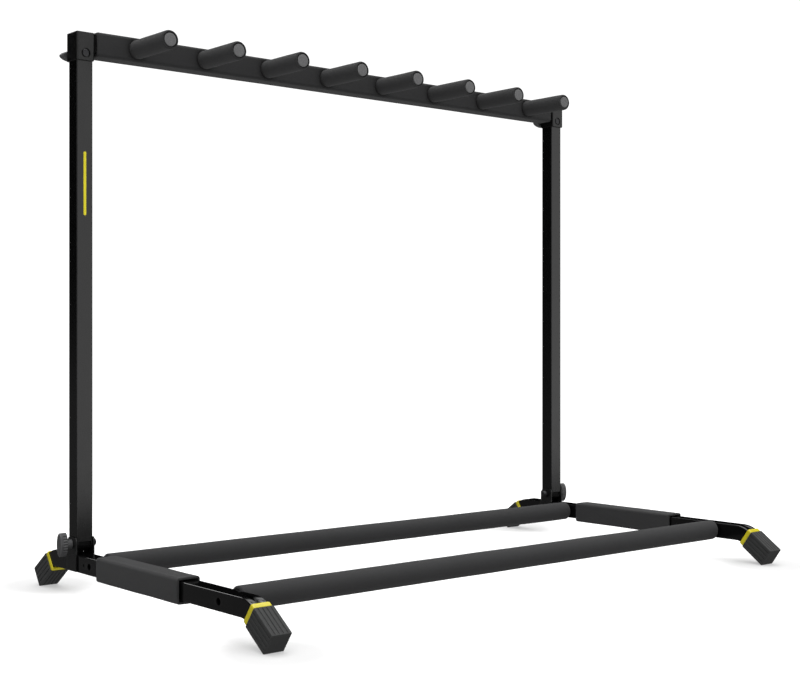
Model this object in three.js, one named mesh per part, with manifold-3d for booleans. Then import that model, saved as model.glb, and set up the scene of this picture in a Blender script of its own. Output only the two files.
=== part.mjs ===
// Floor-standing rack for a row of guitars: two bent base legs joined by two foam-covered rails,
// two square posts that fold forward on pivot bolts, and a padded top bar with eight neck pegs.
// Millimetres. +X to the right along the rack, +Y to the rear, +Z up.
// Origin: on the floor, midway between the legs, midway between the front and rear feet.

import * as THREE from 'three';
import { mergeVertices } from 'three/addons/utils/BufferGeometryUtils.js';
import Module from 'manifold-3d';

const wasm = await Module();
wasm.setup();

// ---------- shared dimensions ----------
const TUBE = 25;                // outside width of every square tube
const WALL = 2;
const TUBE_CORNER = 1.2;        // outside corner radius
const TUBE_INNER_CORNER = 0.8;
const GAP = 0.4;                // assembly clearance between fitted pieces
const SEAT_GAP = 0.3;           // under a bolt head
const BOLT_END_GAP = 0.5;       // past a bolt's end in a knob's blind bore
const REACH = 30;               // how far a through cutter runs each side of its piece's centre

const HALF_TUBE = TUBE / 2;
const HOLLOW = TUBE - 2 * WALL;
const BORE = TUBE + 2 * GAP;    // square bore that slides over a tube

const POST_X = 491.7;           // post and leg centre, each side of the middle
const POST_Y = 190;             // post centre, behind the middle
const SPAN_END_X = POST_X - BORE / 2;   // ends of the rails and top bar

// ---------- materials ----------
const paint = (settings) => new THREE.MeshStandardMaterial(settings);
const satinBlack = () => paint({ color: 0x1b1b1d, roughness: 0.42, metalness: 0.35 });
const glossBlack = () => paint({ color: 0x0d0d0f, roughness: 0.28, metalness: 0.35 });
const foamBlack = () => paint({ color: 0x2a2a2b, roughness: 0.92, metalness: 0 });
const rubberBlack = () => paint({ color: 0x303132, roughness: 0.75, metalness: 0 });
const collarYellow = () => paint({ color: 0xf2e01c, roughness: 0.45, metalness: 0 });
const knobBlack = () => paint({ color: 0x2b2b2d, roughness: 0.6, metalness: 0 });
const discGrey = () => paint({ color: 0x5c5c5e, roughness: 0.8, metalness: 0 });
const boltBlack = () => paint({ color: 0x151516, roughness: 0.35, metalness: 0.7 });

// ---------- solids ----------
// Welds a geometry's vertices and drops collapsed triangles, so that it closes as a solid.
function solid(geometry) {
  const bare = geometry.clone();
  for (const key of Object.keys(bare.attributes)) {
    if (key !== 'position') bare.deleteAttribute(key);
  }
  const merged = mergeVertices(bare, 1e-4);
  const index = merged.index.array;
  const kept = [];
  for (let i = 0; i < index.length; i += 3) {
    const [a, b, c] = [index[i], index[i + 1], index[i + 2]];
    if (a !== b && b !== c && a !== c) kept.push(a, b, c);
  }
  return new wasm.Manifold(new wasm.Mesh({
    numProp: 3,
    vertProperties: new Float32Array(merged.attributes.position.array),
    triVerts: new Uint32Array(kept),
  }));
}

function geometryOf(manifold) {
  const mesh = manifold.getMesh();
  const stride = mesh.numProp;
  const points = new Float32Array(mesh.numVert * 3);
  for (let i = 0; i < mesh.numVert; i++) {
    points.set(mesh.vertProperties.subarray(i * stride, i * stride + 3), i * 3);
  }
  const geometry = new THREE.BufferGeometry();
  geometry.setAttribute('position', new THREE.BufferAttribute(points, 3));
  geometry.setIndex(new THREE.BufferAttribute(new Uint32Array(mesh.triVerts), 1));
  geometry.computeVertexNormals();
  return geometry;
}

const asSolid = (shape) => (shape.isBufferGeometry ? solid(shape) : shape);
const cut = (first, ...rest) => rest.reduce((sum, s) => sum.subtract(asSolid(s)), asSolid(first));
const join = (first, ...rest) => rest.reduce((sum, s) => sum.add(asSolid(s)), asSolid(first));

// ---------- basic shapes ----------
const box = (x0, x1, y0, y1, z0, z1) =>
  new THREE.BoxGeometry(x1 - x0, y1 - y0, z1 - z0)
    .translate((x0 + x1) / 2, (y0 + y1) / 2, (z0 + z1) / 2);

const cylinderX = (x0, x1, y, z, radius, segments) =>
  new THREE.CylinderGeometry(radius, radius, x1 - x0, segments)
    .rotateZ(-Math.PI / 2)
    .translate((x0 + x1) / 2, y, z);

const cylinderY = (y0, y1, x, z, radius, segments) =>
  new THREE.CylinderGeometry(radius, radius, y1 - y0, segments).translate(x, (y0 + y1) / 2, z);

// Solids of revolution about Y and X. A profile is [distance along the axis, radius] pairs
// that start and end on the axis or close on themselves.
const latheY = (profile, segments) =>
  new THREE.LatheGeometry(profile.map(([y, r]) => new THREE.Vector2(r, y)), segments);
const latheX = (profile, segments) => latheY(profile, segments).rotateZ(-Math.PI / 2);

const roundTubeX = (x0, x1, inner, outer, segments) =>
  latheX([[x0, inner], [x0, outer], [x1, outer], [x1, inner], [x0, inner]], segments);

function roundedRect(width, height, radius) {
  const x = width / 2 - radius;
  const y = height / 2 - radius;
  const shape = new THREE.Shape();
  shape.moveTo(-x, -y - radius);
  shape.lineTo(x, -y - radius);
  shape.absarc(x, -y, radius, -Math.PI / 2, 0, false);
  shape.lineTo(x + radius, y);
  shape.absarc(x, y, radius, 0, Math.PI / 2, false);
  shape.lineTo(-x, y + radius);
  shape.absarc(-x, y, radius, Math.PI / 2, Math.PI, false);
  shape.lineTo(-x - radius, -y);
  shape.absarc(-x, -y, radius, Math.PI, 1.5 * Math.PI, false);
  return shape;
}
const roundedSquare = (size, radius) => roundedRect(size, size, radius);

// Outline of a lens with pointed ends at +X and -X.
function lensPoints(halfLength, halfWidth) {
  const count = 20;
  const sharpness = 1.15;
  return Array.from({ length: count }, (_, i) => {
    const angle = (i / count) * 2 * Math.PI;
    const sine = Math.sin(angle);
    return new THREE.Vector2(
      halfLength * Math.cos(angle),
      halfWidth * Math.sign(sine) * Math.abs(sine) ** sharpness,
    );
  });
}

const plain = (shape, depth, curveSegments = 3) =>
  new THREE.ExtrudeGeometry(shape, { depth, bevelEnabled: false, curveSegments });

// An extrusion with its two end edges bevelled, its overall depth and outline kept.
const softened = (shape, depth, bevel, curveSegments = 3) =>
  new THREE.ExtrudeGeometry(shape, {
    depth: depth - 2 * bevel,
    bevelEnabled: true,
    bevelThickness: bevel,
    bevelSize: bevel,
    bevelOffset: -bevel,
    bevelSegments: 1,
    curveSegments,
  }).translate(0, 0, bevel);

// Outside and hollow of a square tube along +Z from 0; the hollow overruns both ends.
function squareTube(length) {
  const overrun = 5;
  return [
    plain(roundedSquare(TUBE, TUBE_CORNER), length, 1),
    plain(roundedSquare(HOLLOW, TUBE_INNER_CORNER), length + 2 * overrun, 1)
      .translate(0, 0, -overrun),
  ];
}

const X = new THREE.Vector3(1, 0, 0);
const Y = new THREE.Vector3(0, 1, 0);
const Z = new THREE.Vector3(0, 0, 1);
const orient = (geometry, ...axes) =>
  geometry.applyMatrix4(new THREE.Matrix4().makeBasis(...axes));
// Turns an extrusion drawn in (Y, Z) to run along +X from x0.
const alongX = (geometry, x0) => orient(geometry, Y, Z, X).translate(x0, 0, 0);
// Turns an extrusion drawn in (X, Z) to run towards the front from y0.
const alongFront = (geometry, y0) =>
  orient(geometry, X, Z, Y.clone().negate()).translate(0, y0, 0);
// Half-turns a piece made for the right side (+1) when it is wanted on the left (-1).
const facing = (geometry, side) => (side > 0 ? geometry : geometry.rotateZ(Math.PI));

// ---------- feet: boots and collars ----------
const LEG_BEND_Y = 253;         // where the leg's centre line turns down, front and rear
const LEG_SLOPE = THREE.MathUtils.degToRad(35.4);
const LEG_BEND_R = 34;          // centre-line bend radius
const LEG_END = 50;             // tube length past the bend, along the slope
const SIN = Math.sin(LEG_SLOPE);
const COS = Math.cos(LEG_SLOPE);

// FOOT is the rubber boot. Starts and ends are distances down the slope from the bend;
// heights are measured across the slope.
const FOOT = 29.4;              // outside width
const FOOT_H = 31.2;
const FOOT_START = 14.4;
const FOOT_END = 61.3;
const FOOT_SOCKET = 51;         // bottom of the socket
const FOOT_FLAT = 1.0;          // depth of the flat ground under the boot's lowest corner
const FOOT_CHAMFER = 0.8;
const RIB_GROOVES = 4;          // grooves on each side of a boot
const RIB_DEPTH = 0.9;
const RIB_WIDTH = 1.5;
const RIB_MARGIN = 2.5;         // ungrooved at each end of a side
const COLLAR = 27.9;            // coloured collar, outside width
const COLLAR_H = 30;
const COLLAR_CORNER = 2.4;
const COLLAR_BORE = TUBE + 2.4 * GAP;
const COLLAR_START = 6.9;
const COLLAR_END = 14;
const FOOT_OVERRUN = 2;         // cutters past an open mouth

// Height of the leg's level centre line, with the boots' flats on the floor.
const LEG_Z = FOOT_END * SIN + (FOOT_H / 2) * COS - FOOT_FLAT;

// Turns an extrusion drawn across the slope to run down it from distance start.
function downSlope(geometry, front, start) {
  const outward = front ? -1 : 1;
  const down = new THREE.Vector3(0, outward * COS, -SIN);
  const up = new THREE.Vector3(0, outward * SIN, COS);
  const across = new THREE.Vector3(-outward, 0, 0);
  return orient(geometry, across, up, down)
    .translate(0, outward * LEG_BEND_Y + down.y * start, LEG_Z + down.z * start);
}

// Chamfered rectangle with evenly spaced V grooves on its four sides.
function ribbedOutline(width, height) {
  const quarterTurns = [[1, 0], [0, 1], [-1, 0], [0, -1]];    // cosine, sine
  const points = [];
  quarterTurns.forEach(([cos, sin], k) => {
    const [half, out] = k % 2 ? [height / 2, width / 2] : [width / 2, height / 2];
    const pitch = (2 * half - 2 * RIB_MARGIN) / RIB_GROOVES;
    const add = (x, y) => points.push(new THREE.Vector2(x * cos - y * sin, x * sin + y * cos));
    add(-half + FOOT_CHAMFER, -out);
    for (let i = 0; i < RIB_GROOVES; i++) {
      const middle = (i - (RIB_GROOVES - 1) / 2) * pitch;
      add(middle - RIB_WIDTH / 2, -out);
      add(middle, -out + RIB_DEPTH);
      add(middle + RIB_WIDTH / 2, -out);
    }
    add(half - FOOT_CHAMFER, -out);
  });
  return new THREE.Shape(points);
}

function boot(front) {
  const socketLength = FOOT_SOCKET - FOOT_START + FOOT_OVERRUN;
  const body = plain(ribbedOutline(FOOT, FOOT_H), FOOT_END - FOOT_START);
  const socket = plain(roundedSquare(BORE, 1), socketLength, 1);
  const belowFloor = box(-40, 40, -400, 400, -30, 0);
  return cut(
    downSlope(body, front, FOOT_START),
    downSlope(socket, front, FOOT_START - FOOT_OVERRUN),
    belowFloor,
  );
}

function collar(front) {
  const length = COLLAR_END - COLLAR_START;
  const ring = plain(roundedRect(COLLAR, COLLAR_H, COLLAR_CORNER), length, 1);
  const bore = plain(roundedSquare(COLLAR_BORE, 1), length + 2 * FOOT_OVERRUN, 1);
  return cut(
    downSlope(ring, front, COLLAR_START),
    downSlope(bore, front, COLLAR_START - FOOT_OVERRUN),
  );
}

// ---------- legs ----------
const RAIL_REAR_Y = 141;
const RAIL_FRONT_Y = -194;
const RAIL_BOLT_R = 2.5;
const RAIL_ACCESS_R = 4.8;      // hole in the leg's outer wall that the bolt head passes
const SMALL_HOLE_R = 2;         // hole in the outer wall behind the rear rail
const SMALL_HOLE_OFFSET = 16;

const LEG_PAD = 33.5;           // square foam sleeve on each leg
const LEG_PAD_CORNER = 5;
const LEG_PAD_REAR_Y = 112;
const LEG_PAD_FRONT_Y = -105;

// The leg's side outline in (Y, Z): a strip about the bent centre line.
// In its helpers, end is 1 at the front and -1 at the rear.
function legOutline(halfHeight, length) {
  const steps = 3;
  const bendTangent = LEG_BEND_R * Math.tan(LEG_SLOPE / 2);
  const points = [];
  const arc = (end, radius, from, to) => {
    for (let i = 0; i <= steps; i++) {
      const angle = Math.PI / 2 + end * (from + ((to - from) * i) / steps);
      points.push(new THREE.Vector2(
        -end * (LEG_BEND_Y - bendTangent) + radius * Math.cos(angle),
        LEG_Z - LEG_BEND_R + radius * Math.sin(angle),
      ));
    }
  };
  const tip = (end, across) => points.push(new THREE.Vector2(
    -end * (LEG_BEND_Y + length * COS) - end * SIN * across,
    LEG_Z - length * SIN + COS * across,
  ));
  tip(1, halfHeight);
  arc(1, LEG_BEND_R + halfHeight, LEG_SLOPE, 0);
  arc(-1, LEG_BEND_R + halfHeight, 0, LEG_SLOPE);
  tip(-1, halfHeight);
  tip(-1, -halfHeight);
  arc(-1, LEG_BEND_R - halfHeight, LEG_SLOPE, 0);
  arc(1, LEG_BEND_R - halfHeight, 0, LEG_SLOPE);
  tip(1, -halfHeight);
  return new THREE.Shape(points);
}

function leg(side) {
  const outside = softened(legOutline(HALF_TUBE, LEG_END), TUBE, TUBE_CORNER);
  const inside = plain(legOutline(HOLLOW / 2, LEG_END + 4), HOLLOW);
  // A cutter through one side wall only; wall is 1 for the outer wall, -1 for the inner.
  const wallHole = (wall, y, radius, segments) => {
    const middle = side * wall * 10;
    return cylinderX(middle - 5, middle + 5, y, LEG_Z, radius, segments);
  };
  const railHoles = [RAIL_REAR_Y, RAIL_FRONT_Y].flatMap((y) => [
    wallHole(1, y, RAIL_ACCESS_R, 12),
    wallHole(-1, y, RAIL_BOLT_R + GAP, 8),
  ]);
  return cut(
    alongX(outside, -HALF_TUBE),
    alongX(inside, -HOLLOW / 2),
    ...railHoles,
    wallHole(1, RAIL_REAR_Y + SMALL_HOLE_OFFSET, SMALL_HOLE_R, 8),
  );
}

function legPad() {
  const overrun = 2;
  const length = LEG_PAD_REAR_Y - LEG_PAD_FRONT_Y;
  const sleeve = softened(roundedSquare(LEG_PAD, LEG_PAD_CORNER), length, 2);
  const bore = plain(roundedSquare(BORE, 1.5), length + 2 * overrun, 1);
  return cut(alongFront(sleeve, LEG_PAD_REAR_Y), alongFront(bore, LEG_PAD_REAR_Y + overrun));
}

// ---------- post brackets, pivot bolts and side knobs ----------
const PIVOT_Z = 74.5;           // post pivot bolt
const PIVOT_BOLT_R = 3.9;
const PIVOT_BOLT_END_X = 29.5;  // from the post centre
const NUT_FACE_X = 15.4;        // dome nut on the inner cheek
const NUT_SHOULDER_X = 20.5;
const NUT_END_X = 23.5;
const NUT_R = 6.4;
const NUT_TOP_R = 3.2;

const BRACKET_TOP_Z = 84;
const BRACKET_T = 2;
const BRACKET_HALF_Y = 13.6;
const BRACKET_REAR_R = 5;       // upper corners of the cheeks
const BRACKET_FRONT_R = 2;
const CHEEK_IN_X = BORE / 2;    // cheek faces, from the post centre
const CHEEK_OUT_X = CHEEK_IN_X + BRACKET_T;

const KNOB_HALF_Z = 17.2;       // side knob's upright lens-shaped grip, half its span
const KNOB_HALF_Y = 7.8;
const KNOB_IN = 23.3;           // grip's inner face, from the post centre
const KNOB_OUT = 35;            // grip's outer face
const KNOB_HUB_R = 6.8;
const KNOB_BEVEL = 1.2;         // on both kinds of knob
const HUB_OVERLAP = 2;          // a hub's length inside its grip

const pivotHole = (z) => cylinderX(-REACH, REACH, 0, z, PIVOT_BOLT_R + GAP, 14);

// Channel that straddles the leg and carries the post; open to the front, closed behind.
function bracket() {
  const bottom = -HALF_TUBE + 1;
  const top = BRACKET_TOP_Z - LEG_Z;
  const front = -BRACKET_HALF_Y;
  const rear = BRACKET_HALF_Y + BRACKET_T;
  const rearR = BRACKET_REAR_R;
  const frontR = BRACKET_FRONT_R;
  const outline = new THREE.Shape();
  outline.moveTo(front, bottom);
  outline.lineTo(rear, bottom);
  outline.lineTo(rear, top - rearR);
  outline.absarc(rear - rearR, top - rearR, rearR, 0, Math.PI / 2, false);
  outline.lineTo(front + frontR, top);
  outline.absarc(front + frontR, top - frontR, frontR, Math.PI / 2, Math.PI, false);
  const cheek = (x0) => alongX(plain(outline, BRACKET_T), x0).translate(0, 0, LEG_Z);
  const webHalf = CHEEK_IN_X + 0.5;
  const web = box(-webHalf, webHalf, BRACKET_HALF_Y, rear,
    LEG_Z + HALF_TUBE + GAP, BRACKET_TOP_Z - rearR);
  return cut(join(cheek(-CHEEK_OUT_X), cheek(CHEEK_IN_X), web), pivotHole(PIVOT_Z));
}

// Shank from the knob to a low dome nut on the inner cheek.
const pivotBolt = (side) => solid(facing(latheX([
  [-NUT_END_X, 0], [-NUT_END_X, NUT_TOP_R],
  [-NUT_SHOULDER_X, NUT_R], [-NUT_FACE_X, NUT_R],
  [-NUT_FACE_X, PIVOT_BOLT_R], [PIVOT_BOLT_END_X, PIVOT_BOLT_R],
  [PIVOT_BOLT_END_X, 0],
], 14), side));

// Upright grip standing off the bracket on a round hub.
function sideKnob(side) {
  const upright = lensPoints(KNOB_HALF_Z, KNOB_HALF_Y).map((p) => new THREE.Vector2(-p.y, p.x));
  const grip = softened(new THREE.Shape(upright), KNOB_OUT - KNOB_IN, KNOB_BEVEL);
  const hubStart = CHEEK_OUT_X + GAP;
  const hubEnd = KNOB_IN + HUB_OVERLAP;
  const hub = latheX([
    [hubStart, 0], [hubStart, KNOB_HUB_R], [hubEnd, KNOB_HUB_R], [hubEnd, 0],
  ], 16);
  const boreEnd = PIVOT_BOLT_END_X + BOLT_END_GAP;
  const bore = cylinderX(10, boreEnd, 0, 0, PIVOT_BOLT_R + GAP, 14);
  return facing(geometryOf(cut(join(alongX(grip, KNOB_IN), hub), bore)), side);
}

// ---------- rails ----------
const RAIL_TUBE_R = 11;
const RAIL_WALL = 1.5;
const RAIL_FOAM_R = 15.6;
const RAIL_FOAM_END_X = 476;
const RAIL_FOAM_CHAMFER = 1.5;
const RAIL_PLUG_LENGTH = 22;
const RAIL_PLUG_INSET = 0.3;    // from the rail's end
const RAIL_BOLT_END_X = 32;     // from the leg centre, inward
const RAIL_HEAD_R = 4.2;
const RAIL_HEAD_H = 5;
const RAIL_SOCKET_R = 2;        // hexagonal, corner radius
const RAIL_SOCKET_DEPTH = 2.5;

const railTube = () =>
  solid(roundTubeX(-SPAN_END_X, SPAN_END_X, RAIL_TUBE_R - RAIL_WALL, RAIL_TUBE_R, 16));

function railFoam() {
  const end = RAIL_FOAM_END_X;
  const radius = RAIL_FOAM_R;
  const bore = RAIL_TUBE_R + GAP;
  const chamfer = RAIL_FOAM_CHAMFER;
  return solid(latheX([
    [-end, bore], [-end, radius - chamfer], [-end + chamfer, radius],
    [end - chamfer, radius], [end, radius - chamfer], [end, bore], [-end, bore],
  ], 20));
}

// Bored plug in each rail end, running inward from its own origin.
const railPlug = (side) => solid(facing(
  roundTubeX(0, RAIL_PLUG_LENGTH, RAIL_BOLT_R + GAP, RAIL_TUBE_R - RAIL_WALL - GAP, 10),
  -side,
));

// Socket-head bolt: head inside the leg on its inner wall, shank into the plug.
function railBolt(side) {
  const seat = -(HALF_TUBE - WALL - SEAT_GAP);
  const top = seat + RAIL_HEAD_H;
  const body = latheX([
    [-RAIL_BOLT_END_X, 0], [-RAIL_BOLT_END_X, RAIL_BOLT_R], [seat, RAIL_BOLT_R],
    [seat, RAIL_HEAD_R], [top, RAIL_HEAD_R], [top, 0],
  ], 10);
  const depth = RAIL_SOCKET_DEPTH;
  const socket = cylinderX(top - depth, top + depth, 0, 0, RAIL_SOCKET_R, 6);
  return facing(geometryOf(cut(body, socket)), side);
}

// ---------- posts ----------
const POST_TOP_Z = 808.6;
const CORNER_BOLT_Z = 781.7;
const CORNER_BOLT_R = 3;
const POST_PLUG_GAP = 0.35;
const POST_PLUG_TOP = 16;       // above the pivot
const SLOT_HALF_X = 10.2;       // slot across the post's front wall, at the pivot
const SLOT_BELOW = 1.9;
const SLOT_ABOVE = 3.9;

const cornerHole = () =>
  cylinderY(-REACH, REACH, 0, CORNER_BOLT_Z, CORNER_BOLT_R + GAP, 10);

function post() {
  const bottom = PIVOT_Z - HALF_TUBE;
  const [tube, hollow] = squareTube(POST_TOP_Z - bottom).map((g) => g.translate(0, 0, bottom));
  // The lower end is rounded about the pivot, so that the post turns inside its bracket.
  const below = new THREE.Shape();
  below.moveTo(-40, -40);
  below.lineTo(40, -40);
  below.lineTo(40, 0);
  below.lineTo(HALF_TUBE, 0);
  below.absarc(0, 0, HALF_TUBE, 0, -Math.PI, true);
  below.lineTo(-40, 0);
  const trim = alongX(plain(below, 2 * REACH, 8), -REACH).translate(0, 0, PIVOT_Z);
  const slot = box(-SLOT_HALF_X, SLOT_HALF_X, -HALF_TUBE - 1, -HALF_TUBE + WALL + 0.15,
    PIVOT_Z - SLOT_BELOW, PIVOT_Z + SLOT_ABOVE);
  return cut(tube, hollow, trim, slot, pivotHole(PIVOT_Z), cornerHole());
}

// Plug in the post's lower end, half round below, with the pivot hole.
function postPlug() {
  const half = HOLLOW / 2 - POST_PLUG_GAP;
  const outline = new THREE.Shape();
  outline.moveTo(-half, POST_PLUG_TOP);
  outline.lineTo(-half, 0);
  outline.absarc(0, 0, half, Math.PI, 2 * Math.PI, false);
  outline.lineTo(half, POST_PLUG_TOP);
  return cut(alongX(plain(outline, 2 * half, 8), -half), pivotHole(0));
}

// ---------- top bar and pegs ----------
const BAR_Z = 796.7;            // centre of the top bar
const BAR_FOAM_H = 36;
const BAR_FOAM_D = 35;
const BAR_FOAM_END_X = 473.4;
const BAR_FOAM_CORNER = 4.5;

const PEG_COUNT = 8;
const PEG_PITCH = 116.8;
const PEG_R = 14;               // foam outside radius
const PEG_TIP_R = 12.4;         // the same at the narrowed tip
const PEG_TIP_CHAMFER = 0.8;
const PEG_TAPER = 4;            // length of the narrowed tip
const PEG_ROD_R = 6;
const PEG_TIP_Y = 111.7;        // tip, ahead of the bar centre
const PEG_DISC_R = 10.2;        // end disc
const PEG_DISC_T = 3;
const PEG_FOAM_GAP = 0.5;       // foam clearance on the rod and disc, and tip setback

const PEG_XS = Array.from({ length: PEG_COUNT }, (_, i) => (i - (PEG_COUNT - 1) / 2) * PEG_PITCH);
const pegHoles = (radius) => PEG_XS.map((x) => cylinderY(-REACH, 0, x, 0, radius, 12));

function topBar() {
  const parts = squareTube(2 * SPAN_END_X).map((g) => alongX(g, -SPAN_END_X));
  return cut(...parts, ...pegHoles(PEG_ROD_R + GAP));
}

function barFoam() {
  const overrun = 3;
  const end = BAR_FOAM_END_X;
  const outline = roundedRect(BAR_FOAM_D, BAR_FOAM_H, BAR_FOAM_CORNER);
  const sleeve = softened(outline, 2 * end, 1.5, 2);
  const bore = plain(roundedSquare(BORE, 1.5), 2 * (end + overrun), 1);
  return cut(alongX(sleeve, -end), alongX(bore, -end - overrun),
    ...pegHoles(PEG_ROD_R + PEG_FOAM_GAP));
}

// Rod through the bar's front wall, with a round end disc that holds the foam on.
function pegCore() {
  const tip = -PEG_TIP_Y;
  const discBack = tip + PEG_DISC_T;
  const root = HOLLOW / 2 - GAP;
  return solid(latheY([
    [tip, 0], [tip, PEG_DISC_R], [discBack, PEG_DISC_R],
    [discBack, PEG_ROD_R], [root, PEG_ROD_R], [root, 0],
  ], 12));
}

function pegFoam() {
  const root = -BAR_FOAM_D / 2 - GAP;
  const tip = -PEG_TIP_Y + PEG_FOAM_GAP;
  const seat = -PEG_TIP_Y + PEG_DISC_T + GAP;
  const bore = PEG_ROD_R + PEG_FOAM_GAP;
  const recess = PEG_DISC_R + PEG_FOAM_GAP;
  return solid(latheY([
    [tip, recess], [tip, PEG_TIP_R - PEG_TIP_CHAMFER], [tip + PEG_TIP_CHAMFER, PEG_TIP_R],
    [tip + PEG_TAPER, PEG_R], [root, PEG_R], [root, bore],
    [seat, bore], [seat, recess], [tip, recess],
  ], 14));
}

// ---------- corner caps, bolts and wing knobs ----------
const CAP_BOTTOM_Z = 771;
const CAP_TOP_Z = 812;
const CAP_HALF_Y = 16;
const CAP_OUTER_X = 14.2;       // sleeve's outer side, from the post centre
const CAP_INNER_X = 13.4;       // sleeve's inner side
const CAP_COLLAR_X = 16;        // bar collar's end
const CAP_COLLAR_Z = 781.2;     // underside of the bar collar
const CAP_COLLAR_DROP = 0.6;    // collar's top below the cap's
const CAP_RECESS = 1.6;         // depth of the round recess for the bolt head

const CORNER_HEAD_R = 6;
const CORNER_HEAD_H = 2;
const CORNER_HEAD_RIM = 1.3;    // height of the head's rim; above it a 1 mm step-in
const CORNER_BOLT_END_Y = 27.5;

const WING_HALF = 19.4;         // wing knob, half its span
const WING_HALF_H = 7.6;
const WING_NEAR_Y = 19;         // wing's faces, behind the post centre
const WING_FAR_Y = 30.5;

// Sleeve over the post top with a short collar for the bar's end.
function cornerCap(side) {
  // Distances towards the rack's middle, as an ascending pair of x values.
  const inward = (from, to) => (side < 0 ? [from, to] : [-to, -from]);
  const [x0, x1] = inward(-CAP_OUTER_X, CAP_INNER_X);
  const half = BORE / 2;
  const outline = roundedRect(x1 - x0, 2 * CAP_HALF_Y, 1.5);
  const sleeve = softened(outline, CAP_TOP_Z - CAP_BOTTOM_Z, 1, 1)
    .translate((x0 + x1) / 2, 0, CAP_BOTTOM_Z);
  const barCollar = box(...inward(CAP_INNER_X - 1, CAP_COLLAR_X), -CAP_HALF_Y, CAP_HALF_Y,
    CAP_COLLAR_Z, CAP_TOP_Z - CAP_COLLAR_DROP);
  const postBore = box(-half, half, -half, half, CAP_BOTTOM_Z - 5, POST_TOP_Z + GAP);
  const barBore = box(...inward(5, CAP_COLLAR_X + 5), -half, half, BAR_Z - half, BAR_Z + half);
  const headRecess = cylinderY(-REACH, -CAP_HALF_Y + CAP_RECESS, 0, CORNER_BOLT_Z,
    CORNER_HEAD_R + 0.7, 16);
  return cut(join(sleeve, barCollar), postBore, barBore, cornerHole(), headRecess);
}

function cornerBolt() {
  const seat = -CAP_HALF_Y + CAP_RECESS - SEAT_GAP;
  const top = seat - CORNER_HEAD_H;
  return solid(latheY([
    [top, 0], [top, CORNER_HEAD_R - 1], [seat - CORNER_HEAD_RIM, CORNER_HEAD_R],
    [seat, CORNER_HEAD_R], [seat, CORNER_BOLT_R],
    [CORNER_BOLT_END_Y, CORNER_BOLT_R], [CORNER_BOLT_END_Y, 0],
  ], 12));
}

function wingKnob() {
  const lens = new THREE.Shape(lensPoints(WING_HALF, WING_HALF_H));
  const wings = softened(lens, WING_FAR_Y - WING_NEAR_Y, KNOB_BEVEL);
  const hubStart = CAP_HALF_Y + GAP;
  const hubEnd = WING_NEAR_Y + HUB_OVERLAP;
  const hub = latheY([[hubStart, 0], [hubStart, 6.6], [hubEnd, 7], [hubEnd, 0]], 14);
  const boreEnd = CORNER_BOLT_END_Y + BOLT_END_GAP;
  const bore = cylinderY(5, boreEnd, 0, 0, CORNER_BOLT_R + GAP, 10);
  return cut(join(alongFront(wings, WING_FAR_Y), hub), bore);
}

// ---------- assembly ----------
const rack = new THREE.Group();
const base = new THREE.Group();
const upper = new THREE.Group();
rack.add(base, upper);

function group(parent, x, y, z) {
  const made = new THREE.Group();
  made.position.set(x, y, z);
  parent.add(made);
  return made;
}

function place(parent, name, shape, material, x = 0, y = 0, z = 0) {
  const mesh = new THREE.Mesh(shape.isBufferGeometry ? shape : geometryOf(shape), material);
  mesh.name = name;
  mesh.position.set(x, y, z);
  parent.add(mesh);
}

const RAILS = [['front', RAIL_FRONT_Y], ['rear', RAIL_REAR_Y]];

for (const [tag, side] of [['left', -1], ['right', 1]]) {
  const low = group(base, side * POST_X, 0, 0);
  place(low, `leg_${tag}`, leg(side), glossBlack());
  for (const end of ['front', 'rear']) {
    const front = end === 'front';
    place(low, `foot_${end}_${tag}`, boot(front), rubberBlack());
    place(low, `foot_collar_${end}_${tag}`, collar(front), collarYellow());
  }
  place(low, `leg_pad_${tag}`, legPad(), foamBlack(), 0, 0, LEG_Z);
  place(low, `post_bracket_${tag}`, bracket(), glossBlack(), 0, POST_Y, 0);
  place(low, `pivot_bolt_${tag}`, pivotBolt(side), boltBlack(), 0, POST_Y, PIVOT_Z);
  place(low, `side_knob_${tag}`, sideKnob(side), knobBlack(), 0, POST_Y, PIVOT_Z);
  const plugX = -side * (BORE / 2 + RAIL_PLUG_INSET);
  for (const [end, y] of RAILS) {
    place(low, `rail_bolt_${end}_${tag}`, railBolt(side), boltBlack(), 0, y, LEG_Z);
    place(low, `rail_plug_${end}_${tag}`, railPlug(side), knobBlack(), plugX, y, LEG_Z);
  }

  const high = group(upper, side * POST_X, POST_Y, 0);
  place(high, `post_${tag}`, post(), satinBlack());
  place(high, `post_plug_${tag}`, postPlug(), knobBlack(), 0, 0, PIVOT_Z);
  place(high, `corner_cap_${tag}`, cornerCap(side), satinBlack());
  place(high, `corner_bolt_${tag}`, cornerBolt(), boltBlack(), 0, 0, CORNER_BOLT_Z);
  place(high, `wing_knob_${tag}`, wingKnob(), knobBlack(), 0, 0, CORNER_BOLT_Z);
}

for (const [end, y] of RAILS) {
  place(base, `rail_tube_${end}`, railTube(), glossBlack(), 0, y, LEG_Z);
  place(base, `rail_foam_${end}`, railFoam(), foamBlack(), 0, y, LEG_Z);
}

const bar = group(upper, 0, POST_Y, BAR_Z);
place(bar, 'top_bar', topBar(), satinBlack());
place(bar, 'bar_foam', barFoam(), foamBlack());
PEG_XS.forEach((x, i) => {
  place(bar, `peg_core_${i + 1}`, pegCore(), discGrey(), x);
  place(bar, `peg_foam_${i + 1}`, pegFoam(), foamBlack(), x);
});

export default rack;
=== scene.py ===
"""Guitar rack: the visible pieces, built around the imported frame.

The rack stands on z = 0 and is centred on x = 0, with its front toward -Y and its left side at -X.
Two bent legs run along Y and carry the posts; two rails and a padded top bar run along X; eight
pegs point forward from the bar. Lengths are in millimetres until a vertex is made.
"""
from math import copysign, cos, exp, hypot, pi, radians, sin, sqrt, tan

import bmesh
import bpy
from mathutils import Euler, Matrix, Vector, noise


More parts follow.
